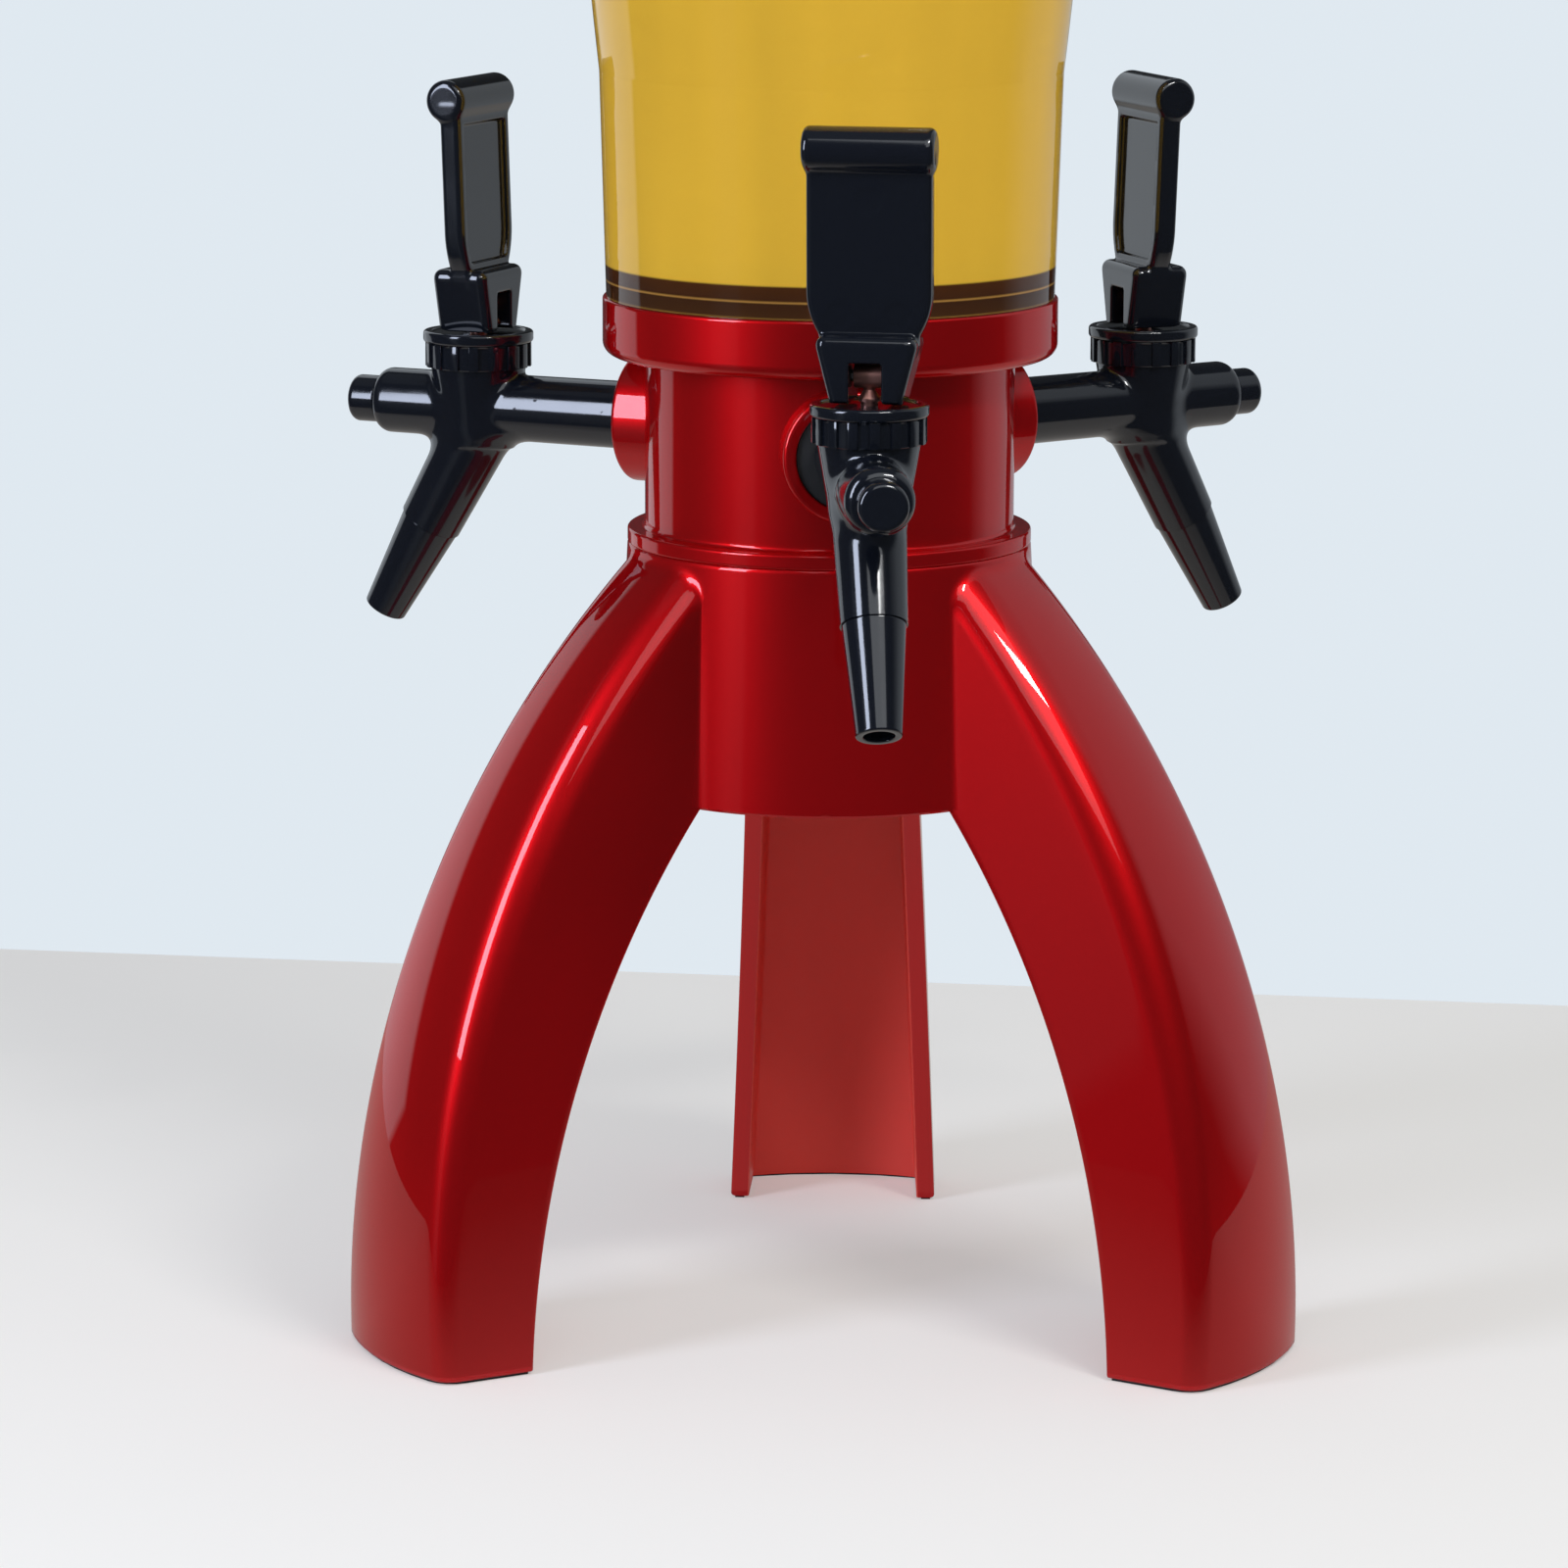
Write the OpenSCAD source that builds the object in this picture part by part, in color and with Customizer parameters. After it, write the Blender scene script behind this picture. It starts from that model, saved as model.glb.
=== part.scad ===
// Table-top drink tower: a three-legged stand, a tap ring with three lever taps,
// a clear barrel and its lid. Millimetres, +Z up.
// The origin is on the tower's axis, at the level of the table.

/* [Stand] */
// Height of the stand's top rim above the table
base_h = 243; // [232:1:255]
// Radius of the hub at its top rim
hub_top_r = 62.4; // [61:0.1:65]
// Radius of the hub at its bottom edge
hub_bottom_r = 66.3; // [65.5:0.1:68]
// Height of the hub from its bottom edge to its top rim
hub_h = 75; // [68:1:82]
// Wall of the hub and thickness of its deck
hub_wall = 3.5; // [3:0.1:4]
// Radius of the socket that takes the tap ring's neck
socket_r = 50; // [46:0.5:52]
// Depth of that socket
socket_depth = 18; // [14:1:24]
// Bevel on the rims of the hub and of the tap ring
rim_bevel = 0.6; // [0.3:0.1:1]

/* [Legs] */
// Radius from the axis to the crown of a foot
leg_foot_r = 156; // [152:1:162]
// Radius of the arc that the crown of a leg follows
leg_arc_r = 322; // [310:1:340]
// How far below the rim the crown runs into the hub
leg_top_drop = 3; // [2:0.5:6]
// Width of a foot
leg_foot_w = 68.5; // [64:0.5:74]
// Draft of the leg's sides, which draw in towards the top
leg_draft = 2.35; // [1.8:0.05:2.8]
// Radius of the crowned outer face, seen from above
leg_crown_r = 95; // [85:1:120]
// Radius of the leg's outer corners
leg_corner_r = 11; // [9:0.5:13]
// Wall of the hollow legs
leg_wall = 4.5; // [3.5:0.1:5]
// How much each side of the hollow draws in towards the crown
leg_inner_draft = 2.2; // [1.5:0.1:3]
// Radius from the axis to the inner edge of a foot
arch_foot_r = 119.8; // [117:0.2:123]
// Radius of the arc that the inner edge of a leg follows
arch_arc_r = 305; // [290:1:330]
// Thickness of the rubber under each foot
foot_pad_t = 0.8; // [0.6:0.1:1.6]
// How far the rubber lies in from the edges of the foot
foot_pad_inset = 1.4; // [1:0.1:1.6]

/* [Tap ring] */
// Turn of the screwed-in ring from the middle between two legs
ring_turn = 6.4; // [-15:0.1:15]
// Thickness of the flange that sits on the stand, and of the chamber's floor
flange_t = 4.6; // [3.5:0.1:6]
// Radius of the chamber's outside
ring_body_r = 57; // [56:0.1:58]
// Wall of the chamber and of its neck
ring_wall = 3.5; // [3:0.1:4]
// Height from the stand's rim to the underside of the collar
ring_body_h = 58; // [56:0.5:64]
// Radius of the collar that carries the barrel
collar_r = 70; // [69:0.1:71]
// Height of the collar
collar_h = 17.8; // [16:0.1:22]
// Rounding of the collar's lower edge
collar_round = 4; // [2:0.5:5]
// Wall of the collar round the barrel's foot
collar_wall = 3.2; // [2.8:0.1:3.6]
// Thickness of the ledge inside the collar
ledge_t = 3.5; // [3:0.1:4.5]
// Clearance between screwed or pushed-in pieces
slip = 0.2; // [0.1:0.05:0.3]

/* [Barrel and lid] */
// Radius of the barrel just above the collar
barrel_foot_r = 68.9; // [68.4:0.1:69.4]
// Radius of the barrel where its flare starts
barrel_neck_r = 70.9; // [70:0.1:72.5]
// Height from the collar to the start of the flare
barrel_neck_h = 69; // [60:1:80]
// Slope of the wall at the start of the flare, in degrees
barrel_flare = 6.5; // [5:0.1:8]
// Height of the flared part
barrel_flare_h = 191; // [150:1:240]
// Wall of the barrel
barrel_wall = 3; // [2.5:0.1:3.5]
// How far the bead on the barrel's rim stands out
bead_out = 1.5; // [1:0.1:2.5]
// Height of that bead
bead_h = 6; // [4:0.5:9]
// Thickness of the seal under the barrel
seal_t = 2; // [1.5:0.1:3]
// Wall of the lid
lid_wall = 3; // [2.5:0.1:4]
// How far the lid reaches beyond the barrel's bead
lid_over = 2; // [1:0.1:3]
// Rise of the lid's dome
lid_dome = 13; // [8:0.5:20]
// Depth of the lid's inner rim
lid_plug = 10; // [7:0.5:14]
// Radius of the lid's knob
knob_r = 16; // [13:0.5:20]
// Height of the lid's knob
knob_h = 25; // [20:0.5:32]

/* [Taps] */
// Height of the shanks above the stand's rim
tap_h = 34.5; // [33.5:0.5:35.5]
// Radius of the bosses for the taps
boss_r = 20.1; // [19.2:0.1:20.8]
// Distance from the axis to the bosses' faces
boss_face = 66; // [65:0.5:68]
// Radius of the washer in each boss
gasket_r = 15.9; // [15:0.1:16.4]
// Thickness of that washer
gasket_t = 2.5; // [2:0.1:3]
// How far the washer lies below the boss's face
gasket_sink = 1; // [0.5:0.1:1.5]
// Radius of the threaded tail of a shank
thread_r = 8; // [7.5:0.1:8.5]
// Radius of the shank at the boss
shank_r = 10.6; // [10.3:0.1:10.8]
// Radius of the shank at its outer end
shank_end_r = 10.3; // [9.8:0.1:10.3]
// Distance from the axis to the outer end of the shank
shank_end = 157; // [153:0.5:162]
// Rounding of the shank's outer end
shank_round = 4; // [2.5:0.5:5]
// Radius of the bore through the shank
bore_r = 5.5; // [5:0.1:6]
// Radius of the plug in the shank's end
plug_r = 7.4; // [6.8:0.05:8]
// Length of the plug outside the shank
plug_len = 9.5; // [7:0.1:13]
// Thickness of a lock nut
nut_t = 7; // [5:0.5:8]
// Radius of a lock nut over its corners
nut_r = 13.4; // [12.5:0.1:14.5]

/* [Valves] */
// Distance from the axis to the valves
valve_at = 122.4; // [118:0.2:126]
// Radius of the valve chamber under its bonnet
chamber_r = 15; // [14.5:0.1:15.5]
// Radius of the valve chamber's bore
chamber_bore_r = 9.3; // [9:0.1:9.5]
// Height of the bonnets' tops above the shanks' axis
bonnet_top = 24.1; // [23.8:0.1:25.2]
// Radius of a bonnet's flange
bonnet_r = 17.4; // [16.8:0.1:18]
// Thickness of the bonnet's plate
bonnet_plate = 3.8; // [3.4:0.1:4.2]
// Height of the bonnet's ribbed skirt
bonnet_skirt = 7.8; // [7:0.1:8]
// Number of grip ribs on a bonnet
bonnet_ribs = 16; // [10:1:20]
// Width of a grip rib
rib_w = 3; // [2:0.1:3.6]
// Depth of the valve seat below the shank's axis
seat_drop = 9; // [8:0.1:10]
// Radius of the hole in the valve seat
seat_r = 4.6; // [4:0.1:5]
// Radius of the rubber cup on the seat
cup_r = 7.2; // [6.5:0.1:8]
// Height of that cup
cup_h = 10; // [8.5:0.1:11]
// Radius of the valve stem
stem_r = 2.5; // [2.2:0.05:2.8]
// Running clearance of stems and pins
run = 0.05; // [0.02:0.01:0.1]
// Mean radius of the valve spring
spring_r = 5.4; // [5:0.1:6]
// Diameter of the spring's wire
wire_d = 1; // [0.8:0.1:1.2]
// Number of curls of the spring
curls = 5; // [4:1:6]

/* [Spouts] */
// Tilt of the spouts from the vertical
spout_tilt = 30; // [26:0.5:34]
// Length of the spout from the seat to the nozzle's seam
spout_len = 33.6; // [30:0.1:37]
// Radius of the spout at its root
spout_root_r = 11.2; // [10.8:0.1:11.4]
// Radius of the spout at the seam
spout_seam_r = 9.9; // [9.5:0.1:10.4]
// Radius of the nozzle at the seam
nozzle_seam_r = 9.4; // [9:0.1:9.6]
// Radius of the nozzle at its tip
nozzle_tip_r = 6.85; // [6.4:0.05:7.4]
// Length of the nozzle below the seam
nozzle_len = 33.9; // [28:0.1:40]
// Radius of the nozzle's bore
nozzle_bore_r = 4.6; // [4:0.1:5]

/* [Levers] */
// Turn of the levers about their stems: front, left and right
lever_turns = [-15, 2, -15]; // [-30:1:30]
// Height of the lever's pin above the bonnet
pin_up = 8; // [7.5:0.1:9]
// Radius of that pin
pin_r = 1.75; // [1.5:0.05:2]
// Length of that pin
pin_len = 18; // [15:0.5:19]
// Clearance between the lever's foot and the bonnet
lever_gap = 0.35; // [0.3:0.05:0.5]
// Height of the fork above the pin
fork_up = 12.1; // [11:0.1:14]
// Width of the fork at its top
fork_top_w = 29.3; // [28:0.1:31]
// Width of the fork at its foot
fork_foot_w = 20.9; // [20.2:0.1:23]
// Depth of the fork
fork_depth = 18.5; // [18:0.5:20]
// Width of the slot in the fork
slot_w = 9.6; // [9:0.1:11]
// Height of the slot above the pin
slot_up = 4.4; // [4.1:0.1:5]
// Rounding of the fork's upper edges
fork_round = 3.5; // [2:0.5:4]
// Distance from the stem to where the fork's rolling foot begins
cam_start = 5; // [4:0.1:5]
// Radius of that rolling foot
cam_r = 9; // [8:0.5:10]
// Width of the lever's paddle
paddle_w = 36.6; // [34:0.1:38]
// Thickness of the paddle
paddle_t = 7; // [6:0.1:8]
// Lean of the paddle, outward
paddle_lean = 2; // [0:0.5:4]
// Height of the roll's axis above the pin
roll_up = 65.2; // [58:0.1:75]
// Radius of the roll on the lever's top
roll_r = 6.6; // [6:0.1:7.5]
// Length of that roll
roll_len = 38.6; // [37.5:0.1:42]
// Depth of the panel in the lever's inner face
panel_in = 1.5; // [0.8:0.1:2]
// Width of the frame round that panel
panel_frame = 3.6; // [2.5:0.1:5]
// Radius of the three round mould marks on the outer face
mark_r = 3.7; // [3:0.1:4.5]
// Depth of those marks
mark_in = 0.3; // [0.2:0.1:0.5]

/* [Hidden] */
$fn = 96;
eps = 0.01;
far = 400;
red = "#9c0d14";
black = "#16181d";
rubber = "#26272a";
steel = "#b9bcc0";
clear = [0.92, 0.95, 0.97, 0.3];

leg_names = ["left", "right", "rear"];
leg_dirs = [210, 330, 90];
tap_names = ["front", "left", "right"];
tap_dirs = [for (a = [270, 150, 30]) a + ring_turn];
tap_pieces = ["tap_body", "end_plug", "nozzle", "gasket", "bonnet", "stem_seal",
              "valve_stem", "seat_cup", "valve_spring", "lever_pin", "lever"];

// Points on an arc about c, from angle a0 to angle a1
function arc(c, r, a0, a1, n) =
    [for (i = [0:n]) c + r * [cos(a0 + (a1 - a0) * i / n), sin(a0 + (a1 - a0) * i / n)]];
// Centre of the arc of radius r from p to q that bulges to the right of that way
function arc_centre(p, q, r) =
    let (d = q - p, h = sqrt(r * r - d * d / 4), side = [-d.y, d.x] / norm(d))
    (p + q) / 2 + h * side;
// Radius of an arc about c at the height z
function arc_at(c, r, z) = c.x + sqrt(r * r - (z - c.y) * (z - c.y));

// Stand
hub_bottom = base_h - hub_h;
function hub_r(z) = hub_top_r + (hub_bottom_r - hub_top_r) * (base_h - z) / hub_h;
leg_top = base_h - leg_top_drop;
crown_c = arc_centre([leg_foot_r, 0], [hub_r(leg_top), leg_top], leg_arc_r);
function leg_half_w(z) = leg_foot_w / 2 - z * tan(leg_draft);
// The inner edges of a leg run up into the middle of the hub's wall, a little above its bottom
hub_lap = 0.8;
hub_sink = hub_wall / 2;
leg_join = hub_bottom + hub_lap;
arch_top_r = sqrt(pow(hub_r(leg_join) - hub_sink, 2) - pow(leg_half_w(leg_join), 2));
arch_c = arc_centre([arch_foot_r, 0], [arch_top_r, leg_join], arch_arc_r);
function crown_at(z) = arc_at(crown_c, leg_arc_r, z);
function arch_at(z) = arc_at(arch_c, arch_arc_r, z);
// Wall of a leg measured level, where its crown slopes
function level_wall(z) = leg_wall * leg_arc_r / (crown_at(z) - crown_c.x);
// Bow of the inner ends of the sections, so that no three of their points lie in line
function bow(z, y) = 1 - pow(y / leg_half_w(z), 2);
// Inner edge of a leg's section at the side offset y, sunk in the hub's wall above its bottom
function leg_root(z, y) =
    z <= leg_join ? arch_at(z) - bow(z, y) : sqrt(pow(hub_r(z) - hub_sink, 2) - y * y);
root_steps = 4;
// Outline of a leg's section at the height z, drawn in by inset
function leg_outline(z, inset = 0) =
    let (w = leg_half_w(z) - inset,
         k = leg_crown_r - inset,
         r = leg_corner_r - inset,
         axis = crown_at(z) - leg_crown_r,
         fx = axis + sqrt((k - r) * (k - r) - (w - r) * (w - r)),
         turn = atan2(fx - axis, w - r),
         half = concat([[fx, w]],
                       [for (i = [1:4]) let (a = turn * i / 4)
                           [fx + r * sin(a), w - r + r * cos(a)]],
                       [for (i = [1:3]) let (a = turn + (90 - turn) * i / 3)
                           [axis + k * sin(a), k * cos(a)]]),
         other = [for (i = [len(half) - 2:-1:0]) [half[i].x, -half[i].y]],
         root = [for (i = [0:root_steps]) let (y = w * (2 * i / root_steps - 1))
                    [leg_root(z, y) + inset, y]],
         outer = concat(half, other))
    [for (p = concat([for (q = outer) [max(q.x, leg_root(z, q.y) + 0.3), q.y]], root)) [p.x, -p.y]];
// Outline of the hollow in that section, grown by grow, open to the inside or closed by the hub
hollow_open = 40;
hub_skim = 0.5;
function hollow_outline(z, open, grow = 0) =
    let (wall = level_wall(z) - grow,
         w = leg_half_w(z) - leg_wall + grow,
         deep = w - leg_inner_draft,
         axis = crown_at(z) - leg_crown_r,
         k = leg_crown_r - wall,
         crown = [for (i = [0:4]) let (y = deep * (1 - i / 2)) [axis + sqrt(k * k - y * y), y]],
         root = [for (i = [0:root_steps]) let (y = w * (2 * i / root_steps - 1))
                    [open ? arch_at(z) - hollow_open - bow(z, y)
                          : sqrt(pow(hub_r(z) - hub_skim, 2) - y * y), y]])
    [for (p = concat(crown, root)) [p.x, -p.y]];
leg_steps = 10;
hub_steps = 5;
leg_levels = [for (i = [0:leg_steps]) foot_pad_t + (leg_join - foot_pad_t) * i / leg_steps];
leg_end = (leg_top + base_h) / 2;
hub_levels = [for (i = [1:hub_steps]) leg_join + (leg_end - leg_join) * i / hub_steps];
// The hollow ends where its crown comes within this distance of the hub
hollow_end = 4;
hollow_levels = [for (z = hub_levels) if (crown_at(z) - level_wall(z) > hub_r(z) + hollow_end) z];

// Tap ring
ring_flange_top = base_h + flange_t;
collar_z = base_h + ring_body_h;
collar_top = collar_z + collar_h;
ledge_z = collar_z + ledge_t;
chamber_in = ring_body_r - ring_wall;
neck_r = socket_r - slip;
neck_len = socket_depth - 1;
barrel_seat_r = collar_r - collar_wall;
tap_z = base_h + tap_h;
gasket_seat = boss_face - gasket_sink - gasket_t;
shoulder = gasket_seat + gasket_t;
nut_seat = chamber_in + 0.5;
tail_end = nut_seat - nut_t - 3;

// Barrel and lid
spigot_r = barrel_seat_r - slip;
spigot_z = ledge_z + seal_t;
flare_z = collar_top + barrel_neck_h;
barrel_top = flare_z + barrel_flare_h;
flare_arc_r = barrel_flare_h / sin(barrel_flare);
barrel_top_r = barrel_neck_r + flare_arc_r * (1 - cos(barrel_flare));
flare_c = [barrel_top_r - flare_arc_r, barrel_top];
flare_steps = 14;
inner_shoulder = 6;
lid_r = barrel_top_r + bead_out + lid_over;
lid_plug_r = barrel_top_r - barrel_wall - 2 * slip;
lid_top = barrel_top + lid_wall + lid_dome;
dome_r = (lid_r * lid_r + lid_dome * lid_dome) / (2 * lid_dome);
lid_screw_r = 2;
lid_screw_head = 3;
lid_screw_up = 14;

// Valves, measured from the shank's axis
bonnet_under = bonnet_top - bonnet_plate;
skirt_foot = bonnet_under - bonnet_skirt;
neck_thread_r = chamber_r - 1.8;
chamber_taper = 4.2;
chamber_foot = -12;
cup_foot = -seat_drop + run;
cup_top = cup_foot + cup_h;
cup_flange_t = 1.5;
seal_r = chamber_bore_r - 0.6;
gland_t = 2;
spring_foot = cup_top + cup_flange_t;
spring_top = bonnet_under - gland_t;
stem_bead_r = stem_r + 1;
stem_bead = [cup_foot + 4, cup_foot + 7];
pin_z = bonnet_top + pin_up;
eye_r = 3.6;
eye_w = slot_w - 1.2;
collar_up = 0.6;
spout_shift = 0.6;
nozzle_spigot_r = 7;
nozzle_spigot = 9;
spout_back = 6;
plug_spigot = 12;

// Levers, measured from the pin
fork_foot = -(pin_up - lever_gap);
paddle_shift = -0.8;
roll_shift = 1;
paddle_taper = 12;
paddle_steps = 4;
roll_edge = 2;
mark_low = [8.5, 5.5];
mark_high = 38.5;

// Solid through a list of closed outlines of as many points each
module loft(rings) {
    n = len(rings[0]);
    m = len(rings);
    sides = [for (j = [0:m - 2]) for (i = [0:n - 1])
        let (a = j * n + i, b = j * n + (i + 1) % n)
        each [[a, a + n, b + n], [a, b + n, b]]];
    foot = [for (i = [0:n - 1]) i];
    head = [for (i = [n - 1:-1:0]) (m - 1) * n + i];
    polyhedron([for (r = rings) each r], concat(sides, [foot, head]));
}

// Outline raised to the height z
function raise(outline, z) = [for (p = outline) [p.x, p.y, z]];

module leg() {
    loft([for (z = concat(leg_levels, hub_levels)) raise(leg_outline(z), z)]);
}

module leg_hollow() {
    below = foot_pad_t - 1;
    above = hub_bottom + hub_lap / 2;
    loft(concat([raise(hollow_outline(foot_pad_t, true), below)],
                [for (i = [1:leg_steps - 1]) let (z = leg_levels[i]) raise(hollow_outline(z, true), z)],
                [raise(hollow_outline(above, true), above)]));
    loft([for (z = concat([hub_bottom - 1], hollow_levels)) raise(hollow_outline(z, false), z)]);
}

// The stand: hub, deck and socket with three hollow legs, one moulding
module base_stand() {
    deck = base_h - hub_wall;
    hub = [[hub_bottom_r - hub_wall, hub_bottom], [hub_bottom_r, hub_bottom],
           [hub_r(base_h - rim_bevel), base_h - rim_bevel],
           [hub_top_r - rim_bevel, base_h], [socket_r, base_h],
           [socket_r, base_h - socket_depth], [socket_r + hub_wall, base_h - socket_depth],
           [socket_r + hub_wall, deck], [hub_r(deck) - hub_wall, deck]];
    color(red) difference() {
        union() {
            rotate_extrude() polygon(hub);
            for (a = leg_dirs) rotate([0, 0, a]) leg();
        }
        for (a = leg_dirs) rotate([0, 0, a]) leg_hollow();
    }
}

// Rubber edge under one hollow foot
module foot_pad(k) {
    color(rubber) rotate([0, 0, leg_dirs[k]]) linear_extrude(foot_pad_t) difference() {
        polygon(leg_outline(foot_pad_t, foot_pad_inset));
        polygon(hollow_outline(foot_pad_t, true, foot_pad_inset));
    }
}

// Frame of one tap: X outward from the tower's axis, Z up from the shank's axis
module at_tap(k) {
    rotate([0, 0, tap_dirs[k]]) translate([0, 0, tap_z]) children();
}

// Solid of revolution about the shank's axis, from points of radius and distance
module about_shank(points) {
    rotate([0, 90, 0]) rotate_extrude() polygon(points);
}

// Solid of revolution about the valve's axis
module about_valve(points) {
    translate([valve_at, 0, 0]) rotate_extrude() polygon(points);
}

// Frame of the spout: Z along its axis, down and outward from the valve's seat
module at_spout() {
    translate([valve_at + spout_shift, 0, -seat_drop]) rotate([0, 180 - spout_tilt, 0]) children();
}

// The tap ring: chamber with its screw neck, the barrel's collar and the bosses
module tap_ring() {
    outside = concat(
        [[0, base_h - neck_len], [neck_r, base_h - neck_len], [neck_r, base_h],
         [hub_top_r - rim_bevel, base_h], [hub_top_r, base_h + rim_bevel],
         [hub_top_r, ring_flange_top - rim_bevel], [hub_top_r - rim_bevel, ring_flange_top],
         [ring_body_r, ring_flange_top], [ring_body_r, collar_z]],
        arc([collar_r - collar_round, collar_z + collar_round], collar_round, -90, 0, 6),
        [[collar_r, collar_top - rim_bevel], [collar_r - rim_bevel, collar_top], [0, collar_top]]);
    chamber = [[0, ring_flange_top], [chamber_in, ring_flange_top], [chamber_in, ledge_z],
               [barrel_seat_r, ledge_z], [barrel_seat_r, collar_top + 1], [0, collar_top + 1]];
    boss = [[0, chamber_in - 6], [boss_r, chamber_in - 6], [boss_r, boss_face - rim_bevel],
            [boss_r - rim_bevel, boss_face], [0, boss_face]];
    color(red) difference() {
        union() {
            rotate_extrude() polygon(outside);
            for (k = [0:2]) at_tap(k) about_shank(boss);
        }
        rotate_extrude() polygon(chamber);
        translate([0, 0, base_h - neck_len - 1]) cylinder(r = neck_r - ring_wall, h = neck_len + 1);
        for (k = [0:2]) at_tap(k) rotate([0, 90, 0]) {
            translate([0, 0, chamber_in - 6]) cylinder(r = nut_r + 1.6, h = nut_seat - chamber_in + 6);
            translate([0, 0, chamber_in - 6]) cylinder(r = thread_r + slip, h = far);
            translate([0, 0, gasket_seat]) cylinder(r = gasket_r + slip, h = far);
        }
    }
}

// The clear barrel, with its foot in the collar and a bead round its rim
module barrel() {
    flare = [for (i = [0:flare_steps]) let (z = flare_z + (barrel_flare_h - bead_h) * i / flare_steps)
             [arc_at(flare_c, flare_arc_r, z), z]];
    wall = [for (i = [flare_steps:-1:0]) [flare[i].x - barrel_wall, flare[i].y]];
    bead = concat(arc([barrel_top_r + bead_out - 1, barrel_top - bead_h + 1], 1, -90, 0, 3),
                  arc([barrel_top_r + bead_out - 1, barrel_top - 1], 1, 0, 90, 3));
    outline = concat(
        [[spigot_r - barrel_wall, spigot_z], [spigot_r, spigot_z], [spigot_r, collar_top],
         [barrel_foot_r, collar_top]],
        flare, bead,
        [[barrel_top_r - barrel_wall, barrel_top]],
        wall,
        [[barrel_foot_r - barrel_wall, collar_top + inner_shoulder],
         [spigot_r - barrel_wall, collar_top - inner_shoulder]]);
    color(clear) rotate_extrude() polygon(outline);
}

module barrel_seal() {
    color(rubber) translate([0, 0, ledge_z]) difference() {
        cylinder(r = spigot_r, h = seal_t);
        translate([0, 0, -1]) cylinder(r = spigot_r - barrel_wall - 1, h = seal_t + 2);
    }
}

// The lid: a low dome with an inner rim that drops into the barrel
module lid() {
    dome_c = [0, lid_top - dome_r];
    under_r = dome_r - lid_wall;
    plug_in = lid_plug_r - lid_wall;
    edge = asin((dome_c.y * -1 + barrel_top + lid_wall) / dome_r);
    rim_under = acos(plug_in / under_r);
    outside = concat(
        [[0, barrel_top - lid_plug], [lid_plug_r, barrel_top - lid_plug], [lid_plug_r, barrel_top],
         [lid_r, barrel_top], [lid_r, barrel_top + lid_wall]],
        arc(dome_c, dome_r, edge, 90, 12));
    inside = concat(
        [[0, barrel_top - lid_plug - 1], [plug_in, barrel_top - lid_plug - 1]],
        arc(dome_c, under_r, rim_under, 90, 12));
    color(red) difference() {
        rotate_extrude() polygon(outside);
        rotate_extrude() polygon(inside);
        translate([0, 0, barrel_top]) cylinder(r = lid_screw_r + slip, h = lid_top);
    }
}

module lid_knob() {
    foot_r = knob_r * 0.62;
    waist_r = knob_r * 0.5;
    head = knob_h * 0.6;
    outline = concat(
        [[0, 0], [foot_r, 0], [foot_r, 2]],
        arc([foot_r + 2, 2 + head / 2], head / 2 - 1, 250, 110, 6),
        arc([knob_r - 3, head + 3], 3, -70, 20, 4),
        arc([0, knob_h - 2.2 * knob_r], 2.2 * knob_r, 65, 90, 5));
    color(black) translate([0, 0, lid_top]) difference() {
        rotate_extrude() polygon(outline);
        translate([0, 0, -eps]) cylinder(r = lid_screw_r + run, h = lid_screw_up);
    }
}

module lid_screw() {
    head_r = 2 * lid_screw_r;
    under_r = dome_r - lid_wall;
    under = lid_top - dome_r + sqrt(under_r * under_r - head_r * head_r) - run;
    color(steel) {
        translate([0, 0, under - lid_screw_head]) cylinder(r = head_r, h = lid_screw_head);
        translate([0, 0, under - eps]) cylinder(r = lid_screw_r, h = lid_wall + lid_screw_up - 1);
    }
}

// Lock nuts of the three taps, inside the chamber
module shank_nuts() {
    color(black) for (k = [0:2]) at_tap(k) translate([nut_seat - nut_t, 0, 0]) rotate([0, 90, 0])
        difference() {
            cylinder(r = nut_r, h = nut_t, $fn = 6);
            translate([0, 0, -1]) cylinder(r = thread_r + slip / 2, h = nut_t + 2);
        }
}

// One tap's moulding: shank, valve chamber and spout
module tap_body(k) {
    end_c = [shank_end_r - shank_round, shank_end - shank_round];
    shank = concat(
        [[0, tail_end], [thread_r, tail_end], [thread_r, shoulder], [shank_r, shoulder]],
        arc(end_c, shank_round, 0, 90, 6),
        [[0, shank_end]]);
    chamber = [[0, chamber_foot], [chamber_r - chamber_taper, chamber_foot],
               [chamber_r, skirt_foot - slip], [neck_thread_r, skirt_foot - slip],
               [neck_thread_r, bonnet_under], [0, bonnet_under]];
    color(black) at_tap(k) difference() {
        union() {
            about_shank(shank);
            about_valve(chamber);
            at_spout() translate([0, 0, -spout_back])
                cylinder(r1 = spout_root_r, r2 = spout_seam_r, h = spout_len + spout_back);
        }
        rotate([0, 90, 0]) translate([0, 0, tail_end - 1]) cylinder(r = bore_r, h = far);
        about_valve([[0, -seat_drop], [chamber_bore_r, -seat_drop],
                     [chamber_bore_r, bonnet_top], [0, bonnet_top]]);
        at_spout() translate([0, 0, -1]) cylinder(r = seat_r, h = spout_len + 2);
        at_spout() translate([0, 0, spout_len - nozzle_spigot])
            cylinder(r = nozzle_spigot_r + run, h = nozzle_spigot + 1);
    }
}

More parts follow.
